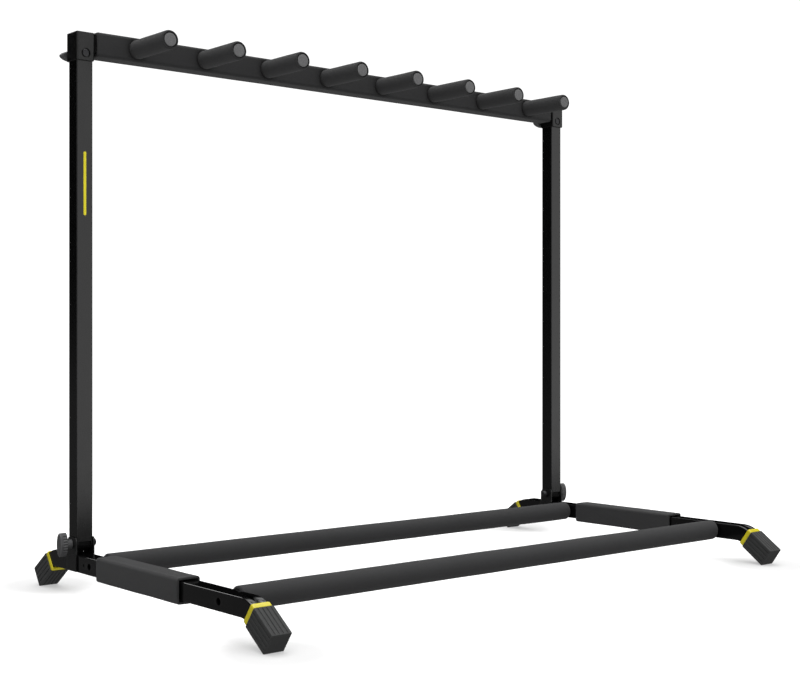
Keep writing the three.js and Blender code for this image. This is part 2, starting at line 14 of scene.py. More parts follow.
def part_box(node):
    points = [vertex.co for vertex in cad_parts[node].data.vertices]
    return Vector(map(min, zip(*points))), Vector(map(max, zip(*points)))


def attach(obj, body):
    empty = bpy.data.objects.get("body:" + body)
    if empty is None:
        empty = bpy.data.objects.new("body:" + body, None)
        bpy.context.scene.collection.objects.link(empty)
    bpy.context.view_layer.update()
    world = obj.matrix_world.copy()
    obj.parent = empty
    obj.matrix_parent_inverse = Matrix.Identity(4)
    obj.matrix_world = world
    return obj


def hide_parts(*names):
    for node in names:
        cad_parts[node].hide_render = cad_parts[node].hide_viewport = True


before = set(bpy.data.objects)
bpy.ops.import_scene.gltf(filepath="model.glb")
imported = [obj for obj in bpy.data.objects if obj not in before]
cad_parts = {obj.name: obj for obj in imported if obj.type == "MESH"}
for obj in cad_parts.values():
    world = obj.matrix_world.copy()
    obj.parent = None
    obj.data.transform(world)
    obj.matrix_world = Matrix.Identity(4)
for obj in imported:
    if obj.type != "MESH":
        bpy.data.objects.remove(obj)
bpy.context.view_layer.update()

MM = 0.001


# ---------- places, read from the frame ----------
def span(node):
    lo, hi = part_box(node)
    return lo * 1000, hi * 1000


def mid(node):
    lo, hi = span(node)
    return (lo + hi) / 2


def size(node):
    lo, hi = span(node)
    return hi - lo


SIDES = (("left", -1), ("right", 1))  # name, outward direction along X
POST_X = mid("post_right").x
POST_Y = mid("post_right").y
POST_TOP = span("post_right")[1].z
LEG_Z = mid("leg_pad_right").z
PAD = span("leg_pad_right")
PAD_W = size("leg_pad_right").x
RAIL_Y = {"front": mid("rail_foam_front").y, "rear": mid("rail_foam_rear").y}
RAIL_END = span("rail_foam_front")[1].x
RAIL_R = size("rail_foam_front").z / 2
BAR_Z = mid("bar_foam").z
BAR_D = size("bar_foam").y
BAR_H = size("bar_foam").z
BAR_END = span("bar_foam")[1].x
PEGS = [mid("peg_foam_%d" % (i + 1)).x for i in range(8)]
PEG_TIP = span("peg_core_1")[0].y
PEG_R = size("peg_foam_1").z / 2
CORNER_Z = mid("corner_bolt_right").z
CAP = span("corner_cap_right")
BRACKET = span("post_bracket_right")

TUBE = 25.0                 # square tube of the legs and posts
TUBE_BORE = TUBE - 4
SLIP_BORE = 25.8            # square bore of the parts that slide over the tube
PIVOT_Z = span("post_right")[0].z + TUBE / 2
PIVOT_HOLE_R = 4.3
CORNER_HOLE_R = 3.4

# Leg: its level run and sloping tips meet at BEND_Y, and the tips run LEG_END beyond.
BEND_Y, SLOPE, BEND_R, LEG_END = 253.0, radians(35.4), 34.0, 50.0

# Boots and collars: starts, ends and the socket floor are distances down the slope from BEND_Y.
FOOT_W, FOOT_H, FOOT_CORNER = 29.4, 31.2, 1.1
FOOT_START, FOOT_END, SOCKET = 14.4, 61.3, 51.0
RIBS, GROOVE_HALF, GROOVE_DEPTH = 4, 1.0, 0.95
COLLAR_W, COLLAR_H, COLLAR_START, COLLAR_END = 27.9, 30.0, 6.9, 14.0


# ---------- mesh tools ----------
def outline(w, h, r, seg, side, bulge=0.0):
    """Rounded rectangle as (u, v, outward u, outward v), counter-clockwise.

    seg is the steps in each corner and side the steps along each side."""
    cx, cy = w / 2 - r, h / 2 - r
    corners = [(cx, -cy, -90), (cx, cy, 0), (-cx, cy, 90), (-cx, -cy, 180)]
    points = []
    for k, (x, y, start) in enumerate(corners):
        for i in range(seg + 1):
            a = radians(start + 90 * i / seg)
            points.append((x + r * cos(a), y + r * sin(a), cos(a), sin(a)))
        next_x, next_y, _ = corners[(k + 1) % 4]
        a = radians(start + 90)
        c, s = cos(a), sin(a)
        for i in range(1, side):
            t = i / side
            b = bulge * sin(pi * t) ** 2
            u = x + r * c + (next_x - x) * t + c * b
            v = y + r * s + (next_y - y) * t + s * b
            points.append((u, v, c, s))
    return points


def flat_outline(w, h, r, seg, side):
    return [(u, v) for u, v, _, _ in outline(w, h, r, seg, side)]


def circle(r, n):
    return [(r * cos(2 * pi * i / n), r * sin(2 * pi * i / n)) for i in range(n)]


def lens(half_long, half_thick, n):
    """Lens outline as (along, across, sine of the point's angle)."""
    angles = [2 * pi * i / n for i in range(n)]
    return [(half_long * cos(a), half_thick * copysign(abs(sin(a)) ** 1.15, sin(a)), sin(a))
            for a in angles]


def rounding(steps):
    """Quarter round from an end face to a side: (distance from the face, inset), radius 1."""
    angles = [pi / 2 * i / max(steps, 1) for i in range(steps + 1)]
    return [(1 - cos(a), 1 - sin(a)) for a in angles]


def bore_stations(low, high, mouth):
    """Stations (place, size) of a bore from high to low; mouth lists (depth, size) going in."""
    middle = ((low + high) / 2, mouth[-1][1])
    return ([(high - depth, width) for depth, width in mouth] + [middle]
            + [(low + depth, width) for depth, width in reversed(mouth)])


def add_object(name, data):
    obj = bpy.data.objects.new(name, data)
    bpy.context.scene.collection.objects.link(obj)
    return obj


def add_modifier(obj, name, kind, **settings):
    modifier = obj.modifiers.new(name, kind)
    for key, x in settings.items():
        setattr(modifier, key, x)


def loft(name, rings, closed=False):
    """Skins a list of equal rings of points. A ring of one point is a pole.

    Closed joins the last ring to the first; otherwise the ends are capped."""
    verts, faces, index = [], [], []
    for ring in rings:
        index.append(list(range(len(verts), len(verts) + len(ring))))
        verts += [Vector(p) * MM for p in ring]
    m = len(rings)
    for k in range(m if closed else m - 1):
        a, b = index[k], index[(k + 1) % m]
        n = max(len(a), len(b))
        for i in range(n):
            j = (i + 1) % n
            if len(a) == 1:
                faces.append((a[0], b[j], b[i]))
            elif len(b) == 1:
                faces.append((a[i], a[j], b[0]))
            else:
                faces.append((a[i], a[j], b[j], b[i]))
    if not closed:
        for ring in (index[0], index[-1]):
            if len(ring) > 1:
                faces.append(tuple(ring))
    mesh = bpy.data.meshes.new(name)
    mesh.from_pydata([tuple(v) for v in verts], [], faces)
    bm = bmesh.new()
    bm.from_mesh(mesh)
    bmesh.ops.remove_doubles(bm, verts=bm.verts, dist=2e-6)
    bmesh.ops.recalc_face_normals(bm, faces=bm.faces)
    bm.to_mesh(mesh)
    bm.free()
    return add_object(name, mesh)


def baked(obj):
    """Turns the object's modifiers into mesh."""
    bpy.context.view_layer.update()
    depsgraph = bpy.context.evaluated_depsgraph_get()
    mesh = bpy.data.meshes.new_from_object(obj.evaluated_get(depsgraph))
    old = obj.data
    obj.modifiers.clear()
    obj.data = mesh
    mesh.name = obj.name
    bpy.data.meshes.remove(old)


def boolean(obj, tool, operation="DIFFERENCE"):
    add_modifier(obj, "cut", "BOOLEAN", operation=operation, solver="EXACT", object=tool)
    baked(obj)
    bpy.data.objects.remove(tool)


def joined(objs):
    """One object holding several separate closed shells, for use as a cutting tool."""
    bm = bmesh.new()
    for obj in objs:
        bm.from_mesh(obj.data)
    mesh = bpy.data.meshes.new("tool")
    bm.to_mesh(mesh)
    bm.free()
    for obj in objs:
        bpy.data.objects.remove(obj)
    return add_object("tool", mesh)


def rod(axis, start, end, u, v, r, n):
    """Cutting cylinder along X or Y, centred at (u, v) on the other two axes."""
    rings = []
    for s in (start, end):
        rings.append([((s, u + p, v + q) if axis == "X" else (u + p, s, v + q))
                      for p, q in circle(r, n)])
    return loft("rod", rings)


def turned(name, profile, axis, centre, n, sign=1):
    """Turns (along, radius) points about an X or Y axis through centre."""
    rings = []
    for along, r in profile:
        ring = []
        for i in range(n):
            a = 2 * pi * i / n
            if axis == "X":
                place = (centre[0] + sign * along, centre[1] + r * cos(a), centre[2] + r * sin(a))
            else:
                place = (centre[0] + r * cos(a), centre[1] + sign * along, centre[2] + r * sin(a))
            ring.append(place)
        rings.append(ring[:1] if r < 1e-6 else ring)
    return loft(name, rings)


def block(name, x_span, y_span, z_span, corner, soft, seg, side):
    """Box with rounded upright edges and top and bottom edges softened by a radius."""
    (x0, x1), (y0, y1), (z0, z1) = x_span, y_span, z_span
    cx, cy = (x0 + x1) / 2, (y0 + y1) / 2

    def ring(z, inset):
        r = max(corner - inset * 0.6, 0.05)
        return [(cx + u, cy + v, z)
                for u, v in flat_outline(x1 - x0 - 2 * inset, y1 - y0 - 2 * inset, r, seg, side)]

    edge = rounding(4 if soft else 0)
    rings = [ring(z0 + soft * rise, soft * inset) for rise, inset in edge]
    rings += [ring(z1 - soft * rise, soft * inset) for rise, inset in reversed(edge)]
    return loft(name, rings)


def uneven(x, y, z, scale, amount, seed):
    """Slow, smooth unevenness of a foam sleeve."""
    place = Vector((x * scale + seed, y * scale - seed, z * scale + 0.5 * seed))
    return amount * noise.noise(place)


def edge_mask(obj):
    """Writes the attribute edge_wear: 1 on tight outward curves, fading over a few points."""
    full_bend, reach, near_limit = radians(22), 2, 0.003
    bm = bmesh.new()
    bm.from_mesh(obj.data)
    bm.normal_update()
    value = [0.0] * len(bm.verts)
    for e in bm.edges:
        if len(e.link_faces) == 2 and e.is_convex:
            bend = e.link_faces[0].normal.angle(e.link_faces[1].normal, 0.0)
            for v in e.verts:
                value[v.index] = max(value[v.index], min(1.0, bend / full_bend))
    neighbours = [[e.other_vert(v).index for e in v.link_edges if e.calc_length() < near_limit]
                  for v in bm.verts]
    bm.free()
    for _ in range(reach):
        value = [0.6 * x + 0.4 * (sum(value[j] for j in near) / len(near) if near else x)
                 for x, near in zip(value, neighbours)]
    layer = obj.data.attributes.new("edge_wear", "FLOAT", "POINT")
    layer.data.foreach_set("value", value)


def shade(obj, rule):
    """Writes the painted-shade attribute, 0 to 1, from a rule on each point's place; the materials
    darken their colour there as painted shade.
    """
    mesh = obj.data
    layer = mesh.attributes.new("painted_shade", "FLOAT", "POINT")
    value = [min(1.0, max(0.0, rule(*(v.co * 1000)))) for v in mesh.vertices]
    layer.data.foreach_set("value", value)


def finish_piece(obj, body, material, stands_for, angle, wear=True):
    """Smooths the piece up to angle, gives it its material and ties it to the frame."""
    mesh = obj.data
    mesh.polygons.foreach_set("use_smooth", [True] * len(mesh.polygons))
    mesh.set_sharp_from_angle(angle=radians(angle))
    if wear:
        edge_mask(obj)
    add_modifier(obj, "normals", "WEIGHTED_NORMAL", keep_sharp=True, weight=60)
    mesh.materials.clear()
    mesh.materials.append(material)
    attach(obj, body)
    if stands_for:
        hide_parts(stands_for)


def finish_foam(obj, body, stands_for):
    finish_piece(obj, body, FOAM, stands_for, angle=60, wear=False)


# ---------- materials ----------
class Shader:
    """A short way to write a node tree. An input may be a value or another node's output."""

    def __init__(self, tree):
        self.tree = tree
        tree.nodes.clear()

    def feed(self, socket, x):
        if isinstance(x, bpy.types.NodeSocket):
            self.tree.links.new(x, socket)
        elif socket.type == "RGBA":
            socket.default_value = (*x, 1.0)
        else:
            socket.default_value = x

    def node(self, kind, inputs=None, **settings):
        made = self.tree.nodes.new("ShaderNode" + kind)
        for key, x in settings.items():
            setattr(made, key, x)
        for key, x in (inputs or {}).items():
            self.feed(made.inputs[key], x)
        return made

    def spread(self, value, band, to=(0.0, 1.0), **settings):
        """Maps the band of values onto another, clamped."""
        inputs = {0: value, 1: band[0], 2: band[1], 3: to[0], 4: to[1]}
        return self.node("MapRange", inputs, **settings).outputs[0]

    def smooth_spread(self, value, band, to):
        return self.spread(value, band, to, interpolation_type="SMOOTHSTEP")

    def maths(self, operation, a, b):
        return self.node("Math", {0: a, 1: b}, operation=operation).outputs[0]


class Surface(Shader):
    """A principled material textured in object space."""

    def __init__(self, name):
        self.mat = bpy.data.materials.new(name)
        self.mat.use_nodes = True
        super().__init__(self.mat.node_tree)
        output = self.node("OutputMaterial")
        self.bsdf = self.node("BsdfPrincipled")
        self.feed(output.inputs[0], self.bsdf.outputs[0])
        self.coords = self.node("TexCoord").outputs["Object"]

    def stretched(self, scale):
        return self.node("Mapping", {"Scale": scale, 0: self.coords}).outputs[0]

    def noise(self, scale, detail=3.0, rough=0.55, where=None):
        inputs = {"Scale": scale, "Detail": detail, "Roughness": rough,
                  "Vector": where or self.coords}
        return self.node("TexNoise", inputs).outputs[0]

    def cells(self, scale):
        inputs = {"Scale": scale, "Vector": self.coords}
        return self.node("TexVoronoi", inputs).outputs["Distance"]

    def mix(self, factor, a, b):
        return self.node("Mix", {0: factor, 6: a, 7: b}, data_type="RGBA").outputs[2]

    def attribute(self, name):
        return self.node("Attribute", attribute_name=name).outputs["Fac"]

    def bump(self, height, strength, distance, below=None):
        inputs = {"Strength": strength, "Distance": distance, "Height": height}
        if below is not None:
            inputs["Normal"] = below
        return self.node("Bump", inputs).outputs[0]

    def set(self, **values):
        for key, x in values.items():
            self.feed(self.bsdf.inputs[key.replace("_", " ")], x)
        return self.mat


def scaled(colour, factor, add=0.0):
    return tuple(min(1.0, x * factor + add) for x in colour)


def paint(name, colour, rough, peel, spec=0.5):
    """Painted steel: slow drift, orange peel of strength peel, and lighter paint on edges."""
    look = Surface(name)
    drift = look.spread(look.noise(scale=26), band=(0.3, 0.7))
    base = look.mix(drift, scaled(colour, 0.86), scaled(colour, 1.14))
    speck = look.spread(look.noise(scale=2600, detail=2, rough=0.6),
                        band=(0.62, 0.74), to=(0.0, 0.35))
    base = look.mix(speck, base, scaled(colour, 1.7))
    patchy = look.spread(look.noise(scale=300, detail=4, rough=0.65),
                         band=(0.42, 0.66), to=(0.08, 0.5))
    worn = look.maths("MULTIPLY", look.attribute("edge_wear"), patchy)
    base = look.mix(worn, base, scaled(colour, 1.9, add=0.012))
    # Painted shade: near black, with almost no specular, where the shade attribute is set.
    painted_shade_black = (0.0006, 0.0006, 0.0006)
    base = look.mix(look.attribute("painted_shade"), base, painted_shade_black)
    spec_cut_by_painted_shade = look.spread(look.attribute("painted_shade"), band=(0.0, 1.0), to=(spec, 0.02))
    smear = look.spread(look.noise(scale=60, detail=5, rough=0.6),
                        band=(0.3, 0.7), to=(rough - 0.02, rough + 0.025))
    grit = look.spread(look.noise(scale=1700, detail=2), band=(0.3, 0.7), to=(-0.02, 0.02))
    coarse = look.bump(look.noise(scale=520, rough=0.5), strength=peel, distance=0.0004)
    fine = look.bump(look.noise(scale=2400, detail=2, rough=0.5),
                     strength=peel * 0.7, distance=0.00012, below=coarse)
    return look.set(Base_Color=base, Roughness=look.maths("ADD", smear, grit), Normal=fine,
                    Coat_Roughness=0.08, Specular_IOR_Level=spec_cut_by_painted_shade)


def foam(name, colour):
    """Closed-cell foam: an open skin of fine cells, a dry sheen and slow handling marks."""
    look = Surface(name)
    cells = look.cells(scale=1050)
    fine = look.noise(scale=2300, rough=0.65)
    grain = look.maths("ADD", look.spread(cells, band=(0.0, 0.9), to=(0.0, 0.6)),
                       look.spread(fine, band=(0.25, 0.75), to=(0.0, 0.4)))
    base = look.mix(grain, scaled(colour, 0.74), scaled(colour, 1.24))
    slow = look.spread(look.noise(scale=14, detail=4, rough=0.6),
                       band=(0.32, 0.68), to=(0.0, 0.5))
    base = look.mix(slow, base, scaled(colour, 1.16))
    pits = look.spread(look.noise(scale=820, detail=2, rough=0.5),
                       band=(0.66, 0.75), to=(0.0, 0.45))
    base = look.mix(pits, base, scaled(colour, 0.5))
    # Painted shade: darkened almost to black where the shade attribute is set.
    painted_shade_share = look.maths("MULTIPLY", look.attribute("painted_shade"), 0.92)
    base = look.mix(painted_shade_share, base, scaled(colour, 0.06))
    low = look.bump(look.noise(scale=160, rough=0.5), strength=0.10, distance=0.0009)
    high = look.bump(grain, strength=0.38, distance=0.00030, below=low)
    return look.set(Base_Color=base, Normal=high,
                    Roughness=look.spread(fine, band=(0.3, 0.7), to=(0.86, 0.98)),
                    Sheen_Weight=0.05, Sheen_Roughness=0.55, Specular_IOR_Level=0.22)


def moulded(name, colour, rough, grain_scale, grain, spec=0.5, lift=1.25, sheen=0.0):
    """Moulded plastic or rubber with a grained skin; lift lightens the worn edges."""
    look = Surface(name)
    skin = look.noise(scale=grain_scale, rough=0.6)
    base = look.mix(look.spread(skin, band=(0.3, 0.7)), scaled(colour, 0.9), scaled(colour, 1.1))
    cloud = look.spread(look.noise(scale=75, detail=4, rough=0.6),
                        band=(0.35, 0.7), to=(0.0, 0.55))
    base = look.mix(cloud, base, scaled(colour, 0.84))
    patchy = look.spread(look.noise(scale=420), band=(0.35, 0.65), to=(0.12, 0.6))
    worn = look.maths("MULTIPLY", look.attribute("edge_wear"), patchy)
    base = look.mix(worn, base, scaled(colour, lift, add=0.006))
    # Painted shade: darkened almost to black where the shade attribute is set.
    painted_shade_share = look.maths("MULTIPLY", look.attribute("painted_shade"), 0.85)
    base = look.mix(painted_shade_share, base, scaled(colour, 0.12))
    height = look.bump(skin, strength=grain, distance=0.00022)
    roughness = look.spread(look.noise(scale=210), band=(0.3, 0.7),
                            to=(rough - 0.05, rough + 0.06))
    return look.set(Base_Color=base, Roughness=roughness, Normal=height,
                    Specular_IOR_Level=spec, Sheen_Weight=sheen)


def speckled(name, colour):
    """Grey end disc with fine light and dark flecks."""
    look = Surface(name)
    mottle = look.spread(look.noise(scale=700, detail=4, rough=0.7), band=(0.35, 0.68))
    base = look.mix(mottle, scaled(colour, 0.72), scaled(colour, 1.30))
    fleck = look.spread(look.cells(scale=1300), band=(0.0, 0.34), to=(1.0, 0.0))
    base = look.mix(look.maths("MULTIPLY", fleck, 0.45), base, scaled(colour, 1.8))
    dark = look.spread(look.noise(scale=1500, detail=2), band=(0.62, 0.72), to=(0.0, 0.6))
    base = look.mix(dark, base, scaled(colour, 0.45))
    roughness = look.spread(look.noise(scale=500, detail=2), band=(0.3, 0.7), to=(0.7, 0.85))
    height = look.bump(look.noise(scale=1100, rough=0.6), strength=0.25, distance=0.00025)
    return look.set(Base_Color=base, Roughness=roughness, Normal=height)


def steel(name, colour, rough):
    """Fastener steel with turning marks."""
    look = Surface(name)
    marks = look.noise(scale=900, rough=0.5, where=look.stretched((1.0, 0.2, 1.0)))
    base = look.mix(look.spread(marks, band=(0.3, 0.7)), scaled(colour, 0.75), scaled(colour, 1.3))
    roughness = look.spread(look.noise(scale=420, detail=4), band=(0.3, 0.7),
                            to=(rough - 0.06, rough + 0.08))
    return look.set(Base_Color=base, Metallic=0.75, Roughness=roughness,
                    Normal=look.bump(marks, strength=0.12, distance=0.0002))


POST_PAINT = paint("post_paint", (0.0008, 0.0008, 0.00085), rough=0.25, peel=0.035)
CAP_PAINT = paint("cap_paint", (0.0008, 0.0008, 0.00085), rough=0.29, peel=0.05, spec=0.41)
LEG_PAINT = paint("leg_enamel", (0.0018, 0.0018, 0.0019), rough=0.11, peel=0.025)
BRACKET_PAINT = paint("bracket_enamel", (0.0040, 0.0040, 0.0041), rough=0.28, peel=0.06)
FOAM = foam("foam_skin", (0.0288, 0.0288, 0.0296))
RUBBER = moulded("boot_rubber", (0.0315, 0.0322, 0.0322), rough=0.66, grain_scale=1700,
                 grain=0.22, spec=0.24, lift=1.35, sheen=0.03)
YELLOW = moulded("collar_plastic", (0.57, 0.49, 0.006), rough=0.34, grain_scale=900,
                 grain=0.05, lift=1.06)
KNOB = moulded("knob_plastic", (0.058, 0.058, 0.060), rough=0.48, grain_scale=1300,
               grain=0.14, lift=1.5)
PLUG = moulded("plug_plastic", (0.004, 0.004, 0.0042), rough=0.6, grain_scale=1300,
               grain=0.14, spec=0.15)
DISC = speckled("disc_grey", (0.140, 0.140, 0.142))
BOLT = steel("bolt_steel", (0.035, 0.035, 0.037), rough=0.36)
BARE_BOLT = steel("bare_bolt_steel", (0.42, 0.42, 0.43), rough=0.34)
ACCENT = moulded("accent_print", (0.86, 0.76, 0.010), rough=0.5, grain_scale=2400, grain=0.03)


# ---------- legs ----------
def leg_path():
    """Stations of the leg's bent centre line, front tip to rear tip: (y, z, up y, up z)."""
    steps = 14
    tangent = BEND_R * tan(SLOPE / 2)

    def tip(end):
        y = end * (BEND_Y + LEG_END * cos(SLOPE))
        return [(y, LEG_Z - LEG_END * sin(SLOPE), end * sin(SLOPE), cos(SLOPE))]

    def arc(end, start, stop):
        centre_y, centre_z = end * (BEND_Y - tangent), LEG_Z - BEND_R
        stations = []
        for i in range(steps + 1):
            a = start + (stop - start) * i / steps
            up_y, up_z = end * sin(a), cos(a)
            stations.append((centre_y + BEND_R * up_y, centre_z + BEND_R * up_z, up_y, up_z))
        return stations

    level = [(float(y), LEG_Z, 0.0, 1.0) for y in range(-220, 221, 20)]
    return tip(-1) + arc(-1, SLOPE, 0) + level + arc(1, 0, SLOPE) + tip(1)


def tube_rings(mid_x, w, r, sink=0.0):
    """Square tube along the leg. At the bends the middle of its upper wall sinks by sink."""
    rings = []
    for y, z, up_y, up_z in leg_path():
        bent = sink * max(0.0, min(1.0, (16 - abs(abs(y) - BEND_Y)) / 9))
        ring = []
        for u, v in flat_outline(w, w, r, seg=6, side=16):
            if v > w / 2 - 0.05:
                v -= bent * exp(-((u / 3.6) ** 2))
            ring.append((mid_x + u, y + v * up_y, z + v * up_z))
        rings.append(ring)
    return rings


def leg(tag, outward):
    mid_x = outward * POST_X
    outer = tube_rings(mid_x, TUBE, 1.8, sink=0.75)
    inner = tube_rings(mid_x, TUBE_BORE, 1.0)
    obj = loft("bent_leg_" + tag, outer + list(reversed(inner)), closed=True)

    def hole(side, y, r, n):
        """Hole through one wall: side is +1 for the right wall and -1 for the left."""
        near, far = sorted((5, 15), reverse=side != outward)
        return rod("X", mid_x + side * near, mid_x + side * far, y, LEG_Z, r, n)

    # Each rail has a wide hole in the outer wall and a narrow one in the inner wall.
    tools = []
    for y in RAIL_Y.values():
        tools.append(hole(outward, y, 4.8, 36))
        tools.append(hole(-outward, y, 2.9, 28))
    tools.append(hole(outward, RAIL_Y["rear"] + 16, 2.0, 24))
    boolean(obj, joined(tools))

    def bend_painted_shade(x, y, z):
        """Painted shade on the sunken strip on top of each bend."""
        along = abs(abs(y) - BEND_Y + 2)
        if z < LEG_Z - 12 or along > 24:
            return 0.0
        return 0.95 * exp(-(((x - mid_x) / 3.9) ** 4)) * min(1.0, (24 - along) / 6)

    shade(obj, bend_painted_shade)
    finish_piece(obj, "base", LEG_PAINT, "leg_" + tag, angle=40)


for tag, outward in SIDES:
    leg(tag, outward)


# ---------- boots and collars ----------
def slope_ring(mid_x, end, along, points):
    """Places (u, v) points square to a leg tip (end -1 front, +1 rear), along down its slope."""
    y, z = end * BEND_Y + end * cos(SLOPE) * along, LEG_Z + -sin(SLOPE) * along
    up_y, up_z = end * sin(SLOPE), cos(SLOPE)
    return [(mid_x + u, y + v * up_y, z + v * up_z) for u, v in points]


def groove(place, half):
    """Groove depth, 0 to 1, at a place along a side of this half width."""
    pitch = (2 * half - 5) / RIBS
    dip = 0.0
    for i in range(RIBS):
        away = abs(place - (i - (RIBS - 1) / 2) * pitch)
        if away < GROOVE_HALF:
            dip = max(dip, cos(pi / 2 * away / GROOVE_HALF) ** 1.5)
    return dip


def ribbed(depth):
    """Boot outline with round grooves on all four sides; depth 0 is plain."""
    r, steps = FOOT_CORNER, 56
    points = []
    for k in range(4):
        half, out = (FOOT_H / 2, FOOT_W / 2) if k % 2 else (FOOT_W / 2, FOOT_H / 2)
        flat = []
        for i in range(7):
            a = radians(225 + 45 * i / 6)
            flat.append((-half + r + r * cos(a), -out + r + r * sin(a)))
        for i in range(1, steps):
            x = -half + r + (2 * half - 2 * r) * i / steps
            flat.append((x, -out + depth * groove(x, half)))
        for i in range(6):
            a = radians(270 + 45 * i / 6)
            flat.append((half - r + r * cos(a), -out + r + r * sin(a)))
        c, s = ((1, 0), (0, 1), (-1, 0), (0, -1))[k]
        points += [(x * c - y * s, x * s + y * c) for x, y in flat]
    return points


def squared(w, h, r):
    """The boot outline's points projected to a plain rounded rectangle of w by h."""
    points = []
    for u, v in ribbed(0.0):
        k = max(abs(u) / (FOOT_W / 2), abs(v) / (FOOT_H / 2))
        u, v = u / (FOOT_W / 2) / k * w / 2, v / (FOOT_H / 2) / k * h / 2
        over_u, over_v = abs(u) - (w / 2 - r), abs(v) - (h / 2 - r)
        if over_u > 0 and over_v > 0:
            q = r / hypot(over_u, over_v)
            u = copysign(w / 2 - r + over_u * q, u)
            v = copysign(h / 2 - r + over_v * q, v)
        points.append((u, v))
    return points


# Socket wall and mouth lip: (distance down the slope, added width, corner radius).
SOCKET_STATIONS = ((30, 0, 1.6), (FOOT_START + 0.6, 0, 1.6), (FOOT_START + 0.1, 0.7, 1.7),
                   (FOOT_START, 1.4, 1.6))
# Mouth rim: (distance past FOOT_START, width taken off, corner radius).
RIM_STATIONS = ((0, 1.1, 1.3), (0.25, 0.4, 1.2))
# Ribbed outside: (distance past FOOT_START, groove depth).
RIB_STATIONS = ((0.7, 0.15), (1.3, 0.6), (2.2, GROOVE_DEPTH), (10, GROOVE_DEPTH),
                (20, GROOVE_DEPTH), (30, GROOVE_DEPTH), (38, GROOVE_DEPTH),
                (43.0, GROOVE_DEPTH), (44.6, 0.85), (45.4, 0.45))
# Rounded tip: (distance before FOOT_END, width taken off).
TIP_STATIONS = ((0.75, 0.12), (0.3, 0.5), (0.06, 1.2), (0.0, 2.0))
# Collar outside: (share of its length, width taken off, corner radius).
COLLAR_STATIONS = ((0.0, 1.3, 2.0), (0.025, 0.7, 2.3), (0.1, 0.25, 2.5), (0.3, 0.0, 2.6),
                   (0.5, 0.0, 2.6), (0.7, 0.0, 2.6), (0.9, 0.25, 2.5), (0.975, 0.7, 2.3),
                   (1.0, 1.3, 2.0))
# Collar bore, back the other way: (share of its length, width).
COLLAR_BORE = ((1.0, 26.3), (0.96, 25.9), (0.5, 25.9), (0.04, 25.9), (0.0, 26.3))


def boot(mid_x, end, label):
    """Ribbed rubber boot, from its socket floor out over the lip and down to its tip."""

    def ring(along, points, k=1.0):
        return slope_ring(mid_x, end, along, [(u * k, v * k) for u, v in points])

    def outside(along, less, r):
        return ring(along, squared(FOOT_W - less, FOOT_H - less, r))

    rings = [ring(SOCKET, squared(SLIP_BORE, SLIP_BORE, 1.6), k) for k in (0.4, 0.8, 1.0)]
    rings += [ring(along, squared(SLIP_BORE + more, SLIP_BORE + more, r))
              for along, more, r in SOCKET_STATIONS]
    rings += [outside(FOOT_START + past, less, r) for past, less, r in RIM_STATIONS]
    rings += [ring(FOOT_START + past, ribbed(depth)) for past, depth in RIB_STATIONS]
    rings += [outside(FOOT_END - back, less, 1.4) for back, less in TIP_STATIONS]
    rings += [ring(FOOT_END, squared(FOOT_W - 2, FOOT_H - 2, 1.4), k) for k in (0.8, 0.5, 0.2)]
    obj = loft("rubber_boot_" + label, rings)

    # The boot is cut flat where it meets the floor.
    bm = bmesh.new()
    bm.from_mesh(obj.data)
    bmesh.ops.bisect_plane(bm, geom=bm.verts[:] + bm.edges[:] + bm.faces[:], dist=1e-7,
                           plane_co=(0, 0, 0), plane_no=(0, 0, -1), clear_outer=True)
    bmesh.ops.contextual_create(bm, geom=[e for e in bm.edges if e.is_boundary])
    bmesh.ops.recalc_face_normals(bm, faces=bm.faces)
    bm.to_mesh(obj.data)
    bm.free()

    # Painted shade: full inside the boot, and in each groove by its depth.
    def groove_painted_shade(x, y, z):
        dy, dz = y - end * BEND_Y, z - LEG_Z
        along = end * dy * cos(SLOPE) - dz * sin(SLOPE)
        u, v = x - mid_x, end * dy * sin(SLOPE) + dz * cos(SLOPE)
        if not FOOT_START + 1.0 < along < FOOT_END - 1.0:
            return 0.0
        share_u, share_v = abs(u) / (FOOT_W / 2), abs(v) / (FOOT_H / 2)
        if max(share_u, share_v) < 0.9:
            return 1.0
        return groove(v, FOOT_H / 2) if share_u > share_v else groove(u, FOOT_W / 2)

    shade(obj, groove_painted_shade)
    finish_piece(obj, "base", RUBBER, "foot_" + label, angle=48)


def collar(mid_x, end, label):
    """Yellow ring round the leg just above the boot."""

    def ring(share, w, h, r):
        along = COLLAR_START + (COLLAR_END - COLLAR_START) * share
        return slope_ring(mid_x, end, along, flat_outline(w, h, r, seg=6, side=3))

    rings = [ring(share, COLLAR_W - less, COLLAR_H - less, r)
             for share, less, r in COLLAR_STATIONS]
    rings += [ring(share, w, w, 1.6) for share, w in COLLAR_BORE]
    obj = loft("yellow_collar_" + label, rings, closed=True)
    finish_piece(obj, "base", YELLOW, "foot_collar_" + label, angle=50)


for tag, outward in SIDES:
    for end_name, end in (("front", -1), ("rear", 1)):
        boot(outward * POST_X, end, "%s_%s" % (end_name, tag))
        collar(outward * POST_X, end, "%s_%s" % (end_name, tag))


